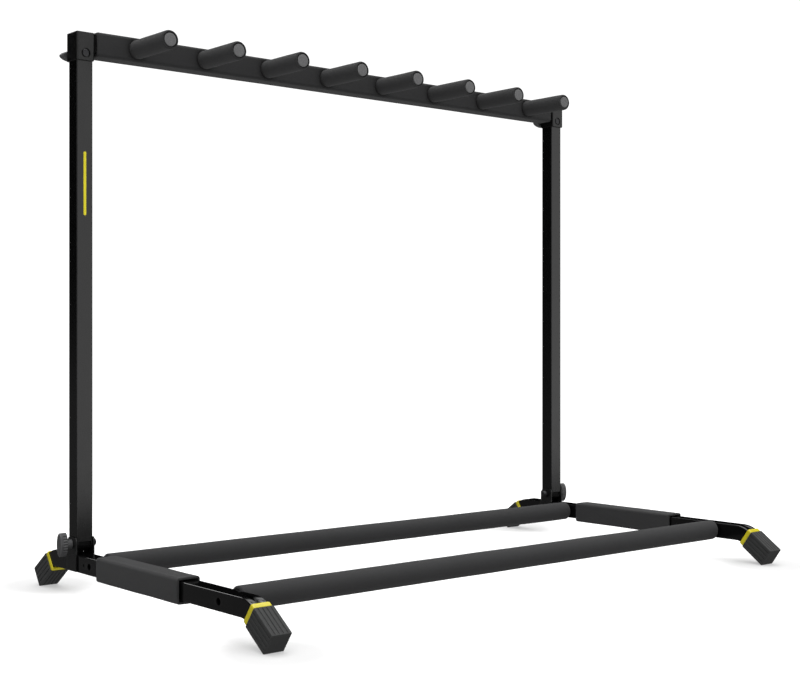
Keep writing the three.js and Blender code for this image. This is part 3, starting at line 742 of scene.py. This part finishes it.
# ---------- foam sleeves ----------
def leg_sleeve(tag, outward):
    mid_x = outward * POST_X
    y0, y1 = PAD[0].y, PAD[1].y
    width, corner, end_r = PAD_W + 0.9, 4.4, 1.3
    seg, side = 8, 12

    def ring(y, inset, bulge, r):
        points = []
        w = width - 2 * inset
        for u, v, out_u, out_v in outline(w, w, r, seg, side, bulge):
            d = uneven(mid_x + u, y, v, 0.021, 0.28, 3.1 * outward) if inset < end_r else 0.0
            points.append((mid_x + u + out_u * d, y, LEG_Z + v + out_v * d))
        return points

    def end_ring(y, inset):
        return ring(y, end_r * inset, 0.3 * (1 - inset), corner - 2.4 * inset)

    edge = rounding(6)
    rings = [end_ring(y0 + end_r * along, inset) for along, inset in edge]
    steps = 36
    for i in range(1, steps):
        rings.append(ring(y0 + end_r + (y1 - y0 - 2 * end_r) * i / steps, 0.0, 0.42, corner))
    rings += [end_ring(y1 - end_r * along, inset) for along, inset in reversed(edge)]
    # Bore mouth: (depth, width).
    mouth = ((0.0, 28.9), (0.35, 28.5), (1.4, 28.4), (6.0, 28.3), (6.3, SLIP_BORE))
    for y, w in bore_stations(y0, y1, mouth):
        rings.append([(mid_x + u, y, LEG_Z + v) for u, v in flat_outline(w, w, 2.0, seg, side)])
    obj = loft("leg_sleeve_" + tag, rings, closed=True)
    # Painted shade: the bore and its mouth are painted black.
    shade(obj, lambda x, y, z: 1.0 if max(abs(x - mid_x), abs(z - LEG_Z)) < 14.3 else 0.0)
    finish_foam(obj, "base", "leg_pad_" + tag)


for tag, outward in SIDES:
    leg_sleeve(tag, outward)


def rail_sleeve(end, seed):
    mid_y, x1 = RAIL_Y[end], RAIL_END
    end_r, steps = 2.6, 90
    ring_points = circle(1.0, 56)
    edge = rounding(6)
    profile = [(-x1 + end_r * along, RAIL_R - end_r * inset) for along, inset in edge]
    for i in range(1, steps):
        profile.append((-x1 + end_r + (2 * x1 - 2 * end_r) * i / steps, RAIL_R))
    profile += [(x1 - end_r * along, RAIL_R - end_r * inset) for along, inset in reversed(edge)]
    rings = []
    for x, r in profile:
        ring = []
        for p, q in ring_points:
            d = uneven(x, p * 15, q * 15, 0.013, 0.30, seed) + 0.35
            ring.append((x, mid_y + p * (r + d), LEG_Z + 0.4 + q * (r + d)))
        rings.append(ring)
    # Bore mouth: (depth, radius).
    for x, r in bore_stations(-x1, x1, ((0, 12.2), (0.5, 11.6), (2, 11.4))):
        rings.append([(x, mid_y + p * r, LEG_Z + q * r) for p, q in ring_points])
    obj = loft("rail_sleeve_" + end, rings, closed=True)
    finish_foam(obj, "base", "rail_foam_" + end)


rail_sleeve("front", seed=7.3)
rail_sleeve("rear", seed=2.9)


def bar_stations(end_r):
    """Places along the bar sleeve, close together near the pegs."""
    edge = rounding(6)
    stations = [-BAR_END + end_r * along for along, _ in edge]
    x = -BAR_END + end_r
    while x < BAR_END - end_r - 2.6:
        x += 1.5 if min(abs(x - p) for p in PEGS) < 22 else 6.0
        if x < BAR_END - end_r - 1.0:
            stations.append(x)
    return stations + [BAR_END - end_r * along for along, _ in reversed(edge)]


def bar_sleeve():
    seg, side = 8, 16
    end_r = 2.4
    rings = []
    for x in bar_stations(end_r):
        edge = min(BAR_END - abs(x), end_r)
        inset = end_r - sqrt(max(0.0, end_r * end_r - (end_r - edge) ** 2))
        w, h = BAR_D - 0.3 - 2 * inset, BAR_H - 0.3 - 2 * inset
        ring = []
        for u, v, out_u, out_v in outline(w, h, 4.9, seg, side, bulge=0.22):
            d = uneven(x, u, v, 0.012, 0.26, 11.7)
            y, z = u + out_u * d, v + out_v * d
            if out_u < -0.5:
                # The front face is pressed in where a peg's foam bears on it.
                for p in PEGS:
                    away = hypot(x - p, v)
                    if away < 24:
                        y += 1.15 / (1 + exp((away - PEG_R - 2.2) / 1.1))
            ring.append((x, POST_Y + y, BAR_Z + z))
        rings.append(ring)
    # Bore mouth: (depth, width).
    for x, w in bore_stations(-BAR_END, BAR_END, ((0, 27.2), (0.5, 26.3), (2, SLIP_BORE))):
        rings.append([(x, POST_Y + u, BAR_Z + v) for u, v in flat_outline(w, w, 1.8, seg, side)])
    obj = loft("bar_sleeve", rings, closed=True)
    boolean(obj, joined([rod("Y", POST_Y - 30, POST_Y - 5, p, BAR_Z, 6.5, 32) for p in PEGS]))

    # Painted shade: a dark halo on the bar's front round each peg's root.
    def painted_shade_near_pegs(x, y, z):
        if y > POST_Y - BAR_D / 2 + 6:
            return 0.0
        away = min(hypot(x - p, z - BAR_Z) for p in PEGS) - PEG_R
        return 0.62 * exp(-max(away, 0.0) / 3.4)

    shade(obj, painted_shade_near_pegs)
    finish_foam(obj, "upper_frame", "bar_foam")


bar_sleeve()


# ---------- pegs ----------
def peg_profile(root, tip):
    """(y, radius) of a peg sleeve from root to tip outside, then back through the bore."""
    root_r, tip_long, tip_deep = 1.1, 4.2, 2.0
    profile = [(root - root_r * along, PEG_R - root_r * inset) for along, inset in rounding(5)]
    profile += [(root - root_r - d, PEG_R) for d in (0.6, 1.3, 2.2, 3.4, 5.0, 7.5)]
    start, stop, steps = root - root_r - 7.5, tip + tip_long, 22
    profile += [(start + (stop - start) * k / steps, PEG_R) for k in range(1, steps)]
    profile += [(tip + tip_long * inset, PEG_R - tip_deep * along) for along, inset in rounding(7)]
    # The disc seat, then the bore.
    profile += [(tip + 0.05, 10.95), (tip + 0.35, 10.75), (tip + 3.4, 10.7), (tip + 3.4, 6.5),
                (tip + 20, 6.5), (root - 10, 6.5), (root - 0.2, 6.5), (root, 6.8)]
    return profile


def peg_sleeve(number, mid_x):
    root = POST_Y - BAR_D / 2 - 0.05
    rings = []
    for y, r in peg_profile(root, PEG_TIP + 0.5):
        ring = []
        for c, s in circle(1.0, 48):
            grow = 0.0
            if r > 11.2:
                grow = uneven(mid_x + 12 * c, y, 12 * s, 0.03, 0.22, 1.7 * number) - 0.05
            ring.append((mid_x + (r + grow) * c, y, BAR_Z + (r + grow) * s))
        rings.append(ring)
    obj = loft("peg_sleeve_%d" % number, rings, closed=True)

    def dark(x, y, z):
        """Painted shade: black in the seat and bore, and darker toward the root."""
        if hypot(x - mid_x, z - BAR_Z) < 10.98:
            return 1.0
        return 0.8 * exp(-max(0.0, root - y - 0.3) / 1.9)

    shade(obj, dark)
    finish_foam(obj, "upper_frame", "peg_foam_%d" % number)


# Front of the core: (distance behind PEG_TIP, radius).
DISC_PROFILE = ((0.0, 0.0), (0.02, 3.0), (0.06, 6.0), (0.12, 8.6), (0.3, 9.3), (0.62, 9.6),
                (1.1, 9.7), (2.6, 9.7), (3.0, 9.4), (3.0, 6.6), (3.4, 6.0), (40, 6.0))


def peg_core(number, mid_x):
    """End disc and the rod behind it."""
    back = span("peg_core_%d" % number)[1].y
    profile = [(PEG_TIP + d, r) for d, r in DISC_PROFILE]
    profile += [(back - 0.6, 6.0), (back, 5.4), (back, 0.0)]
    obj = turned("peg_core_disc_%d" % number, profile, "Y", (mid_x, 0, BAR_Z), 44)
    finish_piece(obj, "upper_frame", DISC, "peg_core_%d" % number,
                 angle=50, wear=False)


for i, x in enumerate(PEGS):
    peg_sleeve(i + 1, x)
    peg_core(i + 1, x)


# ---------- posts, caps, knobs, brackets and their bolts ----------
def post(tag, outward):
    """Upright square tube whose foot is scooped to a half round about the pivot."""
    mid_x = outward * POST_X
    half = TUBE / 2

    def ring(w, r, z=None):
        """Level ring at z, or the half-round foot where z is None."""
        return [(mid_x + u, POST_Y + v,
                 PIVOT_Z - sqrt(max(0.0, half * half - v * v)) if z is None else z)
                for u, v in flat_outline(w, w, r, seg=6, side=14)]

    heights = (None, PIVOT_Z + 14, 300, 550, POST_TOP - 40, POST_TOP)
    rings = [ring(TUBE, 1.2, z) for z in heights]
    rings += [ring(TUBE_BORE, 1.0, z) for z in reversed(heights)]
    obj = loft("square_post_" + tag, rings, closed=True)
    window = block("window", (mid_x - 10.2, mid_x + 10.2), (POST_Y - 20, POST_Y - 10.35),
                   (PIVOT_Z - 1.9, PIVOT_Z + 3.9), corner=0.6, soft=0.0, seg=4, side=2)
    pivot = rod("X", mid_x - 30, mid_x + 30, POST_Y, PIVOT_Z, PIVOT_HOLE_R, 36)
    corner = rod("Y", POST_Y - 30, POST_Y + 30, mid_x, CORNER_Z, CORNER_HOLE_R, 28)
    boolean(obj, joined([pivot, corner, window]))
    # Painted shade: the inside of the tube is painted black.
    shade(obj, lambda x, y, z: 1.0 if max(abs(x - mid_x), abs(y - POST_Y)) < 10.7 else 0.0)
    finish_piece(obj, "upper_frame", POST_PAINT, "post_" + tag, angle=40)


CAP_HALF = 16  # half depth of the corner cap along Y


def corner_cap(tag, outward):
    """Cap over the post's top and the bar's end."""
    mid_x = outward * POST_X
    inward = -outward

    def across(near, far):
        """X span between two distances inward of the post."""
        return sorted((mid_x + inward * near, mid_x + inward * far))

    lo, hi = CAP[0].z, CAP[1].z
    obj = block("corner_cap_body_" + tag, across(-14.2, 13.4),
                (POST_Y - CAP_HALF, POST_Y + CAP_HALF), (lo, hi),
                corner=1.9, soft=0.9, seg=6, side=4)
    lip = block("lip", across(12.0, 16.0), (POST_Y - 14.3, POST_Y + 14.3),
                (lo + 10.2, hi - 1.2), corner=0.7, soft=0.6, seg=3, side=2)
    boolean(obj, lip, "UNION")
    fit = 12.9
    boolean(obj, block("post_socket", (mid_x - fit, mid_x + fit), (POST_Y - fit, POST_Y + fit),
                       (lo - 6, POST_TOP + 0.4), corner=2.2, soft=0.0, seg=4, side=2))
    section = flat_outline(SLIP_BORE, SLIP_BORE, 1.8, seg=4, side=2)
    boolean(obj, loft("bar_socket", [[(x, POST_Y + u, BAR_Z + v) for u, v in section]
                                     for x in across(5, 21)]))
    # The bolt hole and the round recess for its head.
    boolean(obj, rod("Y", POST_Y - 30, POST_Y + 30, mid_x, CORNER_Z, CORNER_HOLE_R, 32))
    boolean(obj, rod("Y", POST_Y - 30, POST_Y - CAP_HALF + 2.2, mid_x, CORNER_Z, 7.0, 56))
    # Painted shade: the lip round the bar, more than 13.5 mm inward of the post's centre, is
    # painted black.
    shade(obj, lambda x, y, z: 1.0 if (x - mid_x) * inward > 13.5 else 0.0)
    finish_piece(obj, "upper_frame", CAP_PAINT, "corner_cap_" + tag, angle=40)


def corner_bolt(tag, outward):
    seat = POST_Y - CAP_HALF + 1.3
    end = POST_Y + 27.5
    profile = [(seat - 1.7, 0.0), (seat - 1.7, 3.0), (seat - 1.66, 4.2), (seat - 1.5, 4.9),
               (seat - 1.1, 5.3), (seat + 0.6, 5.3), (seat + 0.75, 5.15), (seat + 0.75, 3.0),
               (end - 0.3, 3.0), (end, 2.7), (end, 0.0)]
    obj = turned("corner_bolt_head_" + tag, profile, "Y", (outward * POST_X, 0, CORNER_Z), 48)
    finish_piece(obj, "upper_frame", BOLT, "corner_bolt_" + tag, angle=45, wear=False)


def wing_knob(tag, outward):
    """Lens-shaped grip lying along X behind the post, on a round hub."""
    mid_x = outward * POST_X
    y0, y1 = POST_Y + 19, POST_Y + 30.5
    edge_r = 1.8

    def ring(y, inset):
        return [(mid_x + along, y, CORNER_Z + across)
                for along, across, _ in lens(19.4 - inset, 7.6 - inset, 72)]

    edge = rounding(5)
    rings = [ring(y0 + edge_r * along, edge_r * inset) for along, inset in edge]
    rings += [ring(y1 - edge_r * along, edge_r * inset) for along, inset in reversed(edge)]
    # A shallow dish on the rear face, inside a low rim: (inset, depth).
    dish = ((2.6, 0.0), (3.2, 0.35), (4.2, 0.75), (5.6, 0.95))
    rings += [ring(y1 - depth, inset) for inset, depth in dish]
    obj = loft("wing_knob_grip_" + tag, rings)
    # Hub: (distance behind the post's centre, radius).
    hub = ((16.4, 0.0), (16.4, 6.0), (16.8, 6.6), (18.4, 6.9), (21.0, 7.0), (21.0, 0.0))
    profile = [(POST_Y + along, r) for along, r in hub]
    boolean(obj, turned("hub", profile, "Y", (mid_x, 0, CORNER_Z), 48), "UNION")
    boolean(obj, rod("Y", POST_Y + 5, POST_Y + 28, mid_x, CORNER_Z, CORNER_HOLE_R, 32))
    finish_piece(obj, "wing_knob_" + tag, KNOB, "wing_knob_" + tag, angle=42)


def side_knob(tag, outward):
    """Upright lens-shaped grip on a round hub, ribbed on the half nearer the post."""
    centre = (outward * POST_X, POST_Y, PIVOT_Z)
    inner_face, outer_face, inner_r, outer_r = 23.3, 35, 1.5, 1.9

    def ring(x, inset, ribs=0.0):
        points = []
        for z, y, sine in lens(17.2 - inset, 7.8 - inset, 240):
            wave = (0.5 + 0.5 * cos(2 * pi * z / 3.9)) ** 2
            y -= copysign(ribs * wave * min(1.0, max(0.0, abs(sine) - 0.3) * 3), sine)
            points.append((centre[0] + outward * x, centre[1] + y, centre[2] + z))
        return points

    edge = rounding(5)
    rings = [ring(inner_face + inner_r * along, inner_r * inset, 0.9 * i / 5)
             for i, (along, inset) in enumerate(edge)]
    # Middle of the grip: (distance outward, rib depth).
    for x, ribs in ((26.5, 1.0), (29.0, 1.0), (30.1, 0.9), (30.7, 0.5), (31.2, 0.0),
                    (32.0, 0.0), (32.8, 0.0)):
        rings.append(ring(x, 0.0, ribs))
    rings += [ring(outer_face - 0.3 - outer_r * along, outer_r * inset)
              for along, inset in reversed(edge)]
    # Outer face: (inset, depth).
    rings += [ring(outer_face - depth, inset)
              for inset, depth in ((2.8, 0.12), (4.2, 0.0), (6.2, 0.0))]
    obj = loft("side_knob_grip_" + tag, rings)
    # Hub: (distance outward, radius).
    hub = [(15.3, 0.0), (15.3, 6.2), (15.7, 6.7), (20.0, 6.8), (25.3, 6.8), (25.3, 0.0)]
    boolean(obj, turned("hub", hub, "X", centre, 56, sign=outward), "UNION")
    boolean(obj, rod("X", centre[0] + outward * 10, centre[0] + outward * 30, POST_Y, PIVOT_Z,
                     PIVOT_HOLE_R, 36))
    finish_piece(obj, "side_knob_" + tag, KNOB, "side_knob_" + tag, angle=42)


def bracket(tag, outward):
    """Folded channel: two cheeks beside the post and leg, joined behind the post by a web."""
    mid_x = outward * POST_X
    sheet = 2.0
    low, top = BRACKET[0].z, BRACKET[1].z
    cheek_x = (BRACKET[1].x - BRACKET[0].x) / 2 - sheet / 2
    front_y, web_y, bend_r = -13.6, 14.6, 3.0  # from the post's centre
    bend_y = web_y - bend_r
    front_r, rear_r = 2.5, 5.0                 # rounding of a cheek's top corners
    web_low, web_top = LEG_Z + 12.56, top - 5.0
    rows_up, rows_low = 10, 8

    # Plan of the sheet's middle: the left cheek and bend, the web, then their mirror image.
    flank = [(-cheek_x, front_y + (bend_y - front_y) * i / 18) for i in range(19)]
    for i in range(1, 8):
        a = pi / 2 * i / 8
        flank.append((-cheek_x + bend_r * (1 - cos(a)), bend_y + bend_r * sin(a)))
    web = [(-cheek_x + bend_r + (2 * cheek_x - 2 * bend_r) * i / 10, web_y) for i in range(11)]
    plan = flank + web + [(-x, y) for x, y in reversed(flank)]

    def top_z(y):
        z = top
        if y < front_y + front_r:
            q = front_y + front_r - y
            z = min(z, top - front_r + sqrt(max(0.0, front_r ** 2 - q * q)))
        if y > bend_y - rear_r:
            q = min(rear_r, y - (bend_y - rear_r))
            z = min(z, top - rear_r + sqrt(max(0.0, rear_r ** 2 - q * q)))
        return z

    # Rows from 0 up stand above the web's lower edge; only the cheeks have rows below it.
    verts, faces, grid = [], [], {}
    for c, (x, y) in enumerate(plan):
        cheek = y <= bend_y + 1e-6
        column_top = top_z(y) if cheek else web_top
        for r in range(-rows_low if cheek else 0, rows_up + 1):
            if r >= 0:
                z = web_low + (column_top - web_low) * r / rows_up
            else:
                z = web_low + (web_low - low) * r / rows_low
            grid[c, r] = len(verts)
            verts.append(((mid_x + x) * MM, (POST_Y + y) * MM, z * MM))
    for c in range(len(plan) - 1):
        for r in range(-rows_low, rows_up):
            quad = [(c, r), (c + 1, r), (c + 1, r + 1), (c, r + 1)]
            if all(k in grid for k in quad):
                faces.append([grid[k] for k in quad])
    mesh = bpy.data.meshes.new("bracket")
    mesh.from_pydata(verts, [], faces)
    obj = add_object("folded_bracket_" + tag, mesh)
    add_modifier(obj, "sheet", "SOLIDIFY", thickness=sheet * MM, offset=0.0, use_even_offset=True)
    baked(obj)
    bm = bmesh.new()
    bm.from_mesh(obj.data)
    bmesh.ops.recalc_face_normals(bm, faces=bm.faces)
    bm.to_mesh(obj.data)
    bm.free()

    # A square tab behind the lower part of each cheek.
    for k in (-1, 1):
        x_span = sorted((mid_x + k * (cheek_x - sheet / 2), mid_x + k * (cheek_x + sheet / 2)))
        tab = block("tab", x_span, (POST_Y + bend_y - 1.5, POST_Y + 15.8),
                    (low, web_low + 2.5), corner=0.4, soft=0.3, seg=3, side=2)
        boolean(obj, tab, "UNION")
    boolean(obj, rod("X", mid_x - 30, mid_x + 30, POST_Y, PIVOT_Z, PIVOT_HOLE_R, 36))
    finish_piece(obj, "base", BRACKET_PAINT, "post_bracket_" + tag, angle=40)


# Domed head, then shank: (distance outward from the post's centre, radius).
PIVOT_BOLT_PROFILE = ((-23.5, 0.0), (-23.45, 1.8), (-23.1, 3.4), (-22.2, 4.9), (-20.9, 5.9),
                      (-19.9, 6.2), (-19.5, 6.4), (-15.8, 6.4), (-15.4, 6.1), (-15.4, 3.9),
                      (29.1, 3.9), (29.5, 3.5), (29.5, 0.0))


def pivot_bolt(tag, outward):
    centre = (outward * POST_X, POST_Y, PIVOT_Z)
    obj = turned("pivot_bolt_shank_" + tag, PIVOT_BOLT_PROFILE, "X", centre, 40, sign=outward)
    finish_piece(obj, "base", BOLT, "pivot_bolt_" + tag, angle=45, wear=False)


for tag, outward in SIDES:
    for build in (post, corner_cap, corner_bolt, wing_knob, side_knob, bracket, pivot_bolt):
        build(tag, outward)


# ---------- a plain printed strip on the front of the left post ----------
def accent():
    mid_x, z0, z1, steps = -POST_X, 548.0, 640.0, 16
    r = 4.2 / 2
    y = POST_Y - TUBE / 2
    edge = []
    for centre_z, start in ((z1 - r, 0), (z0 + r, pi)):
        for i in range(steps + 1):
            a = start + pi * i / steps
            edge.append((mid_x + r * cos(a), centre_z + r * sin(a)))
    rings = [[(x, y + d, z) for x, z in edge] for d in (-0.03, -0.16)]
    rings.append([((x - mid_x) * 0.94 + mid_x, y - 0.2, z) for x, z in edge])
    obj = loft("post_accent_strip", rings)
    finish_piece(obj, "upper_frame", ACCENT, None, angle=50, wear=False)


accent()

# ---------- frame pieces that keep their shape: inner tubes, plugs and bolts ----------
STAY = {"top_bar": POST_PAINT, "rail_tube": LEG_PAINT, "rail_plug": PLUG,
        "rail_bolt": BARE_BOLT, "post_plug": PLUG}
for node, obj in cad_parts.items():
    kinds = [kind for kind in STAY if node.startswith(kind)]
    if kinds and not obj.hide_render:
        obj.data.materials.clear()
        obj.data.materials.append(STAY[kinds[0]])
        add_modifier(obj, "weld", "WELD", merge_threshold=1e-5)
        add_modifier(obj, "flats", "DECIMATE", decimate_type="DISSOLVE", angle_limit=radians(1))
        add_modifier(obj, "edges", "BEVEL", width=0.3 * MM, segments=2, limit_method="ANGLE",
                     angle_limit=radians(50))
        add_modifier(obj, "normals", "WEIGHTED_NORMAL", keep_sharp=True)

# ---------- floor (metres from here on) ----------
FLOOR_HALF, FLOOR_Z = 14, -0.0004
FLOOR_GLOW = 0.44    # glow seen close to the feet
FLOOR_OPEN = 0.95    # glow seen away from them
FLOOR_BOUNCE = 0.66  # light given to matt surfaces
FLOOR_SHINE = 0.11   # light given to reflections
FLOOR_AHEAD = 1.3    # added to reflections of the floor in front of the rack
BACKDROP = 1.1       # white seen by the camera in the distance
FEET = [(s * POST_X * MM, end * 0.300) for _, s in SIDES for end in (-1, 1)]


def floor_material():
    """White to the camera with shadows only round the feet, and dimmer to everything else."""
    mat = bpy.data.materials.new("pale_floor")
    mat.use_nodes = True
    look = Shader(mat.node_tree)
    output = look.node("OutputMaterial")

    lit = look.node("BsdfDiffuse", {0: (0.36, 0.36, 0.36)})
    near = None
    for x, y in FEET:
        place = look.node("NewGeometry").outputs["Position"]
        away = look.node("VectorMath", {0: place, 1: (x, y, 0.0)}, operation="DISTANCE")
        away = away.outputs["Value"]
        near = away if near is None else look.maths("MINIMUM", near, away)
    lift = look.smooth_spread(near, band=(0.045, 0.135), to=(FLOOR_GLOW, FLOOR_OPEN))
    glow = look.node("Emission", {1: lift})
    both = look.node("AddShader", {0: lit.outputs[0], 1: glow.outputs[0]})

    # Far from the rack the camera sees plain white.
    blank = look.node("Emission", {1: BACKDROP})
    place = look.node("NewGeometry").outputs["Position"]
    length = look.node("VectorMath", {0: place}, operation="LENGTH").outputs["Value"]
    far = look.smooth_spread(length, band=(0.95, 1.5), to=(0.0, 1.0))
    seen = look.node("MixShader", {0: far, 1: both.outputs[0], 2: blank.outputs[0]})

    path = look.node("LightPath").outputs
    glossy = path["Is Glossy Ray"]
    soft = look.spread(glossy, band=(0.0, 1.0), to=(FLOOR_BOUNCE, FLOOR_SHINE))
    y_place = look.node("SeparateXYZ", {0: place}).outputs[1]
    ahead = look.smooth_spread(y_place, band=(-0.55, -0.30), to=(FLOOR_AHEAD, 0.0))
    mirrored = look.maths("MULTIPLY", ahead, glossy)
    dim = look.node("Emission", {1: look.maths("ADD", soft, mirrored)})
    pick = look.node("MixShader",
                     {0: path["Is Camera Ray"], 1: dim.outputs[0], 2: seen.outputs[0]})
    look.feed(output.inputs[0], pick.outputs[0])
    return mat


floor_mesh = bpy.data.meshes.new("floor")
floor_mesh.from_pydata([(x * FLOOR_HALF, y * FLOOR_HALF, FLOOR_Z)
                        for x, y in ((-1, -1), (1, -1), (1, 1), (-1, 1))], [], [(0, 1, 2, 3)])
floor = add_object("floor", floor_mesh)
floor_mesh.materials.append(floor_material())

# ---------- studio surround ----------
# Light patches: (direction, half angle of the full patch, half angle where it ends, strength).
PATCHES = (((0.60, -0.80, 0.06), 14, 33, 1.27),
           ((-0.80, -0.45, 0.40), 12, 50, 1.05),
           ((0.05, -0.10, 1.0), 20, 50, 3.1),
           ((0.50, 0.36, 0.70), 6, 22, 1.7),
           ((-0.15, 0.84, 0.55), 3, 12, 4.5))
AMBIENT = 0.001


def studio():
    """White to the camera; everything else sees the patches on near black."""
    world = bpy.data.worlds.new("studio")
    bpy.context.scene.world = world
    world.use_nodes = True
    sky = Shader(world.node_tree)
    coord = sky.node("TexCoord").outputs["Generated"]
    level = AMBIENT
    for direction, inner, outer, strength in PATCHES:
        dot = sky.node("VectorMath", {0: coord, 1: Vector(direction).normalized()},
                       operation="DOT_PRODUCT").outputs["Value"]
        patch = sky.smooth_spread(dot, band=(cos(radians(outer)), cos(radians(inner))),
                                  to=(0.0, strength))
        level = sky.maths("ADD", patch, level)
    dome = sky.node("Background", {0: (1, 1, 1), 1: level})
    seen = sky.node("Background", {0: (1, 1, 1), 1: BACKDROP})
    camera_ray = sky.node("LightPath").outputs["Is Camera Ray"]
    pick = sky.node("MixShader", {0: camera_ray, 1: dome.outputs[0], 2: seen.outputs[0]})
    sky.node("OutputWorld", {0: pick.outputs[0]})


studio()

# ---------- light and camera ----------
# A wide overhead panel, low in power, to settle the rack on the floor.
light = bpy.data.lights.new("overhead", "AREA")
light.shape = "RECTANGLE"
light.size, light.size_y = 2.6, 1.8
light.energy = 6
overhead = add_object("overhead", light)
overhead.location = (0.0, 0.0, 3.0)

# The camera looks level from the front left.
lens_data = bpy.data.cameras.new("camera")
lens_data.lens = 62.33
lens_data.sensor_width, lens_data.sensor_fit = 36.0, "HORIZONTAL"
lens_data.clip_start, lens_data.clip_end = 0.05, 60
camera = add_object("camera", lens_data)
camera.location = (-1.4345, -1.6388, 0.3734)
camera.rotation_euler = Euler((radians(90), 0, radians(-40.25)))

scene = bpy.context.scene
scene.camera = camera
scene.view_settings.view_transform = "Standard"
scene.view_settings.look = "None"
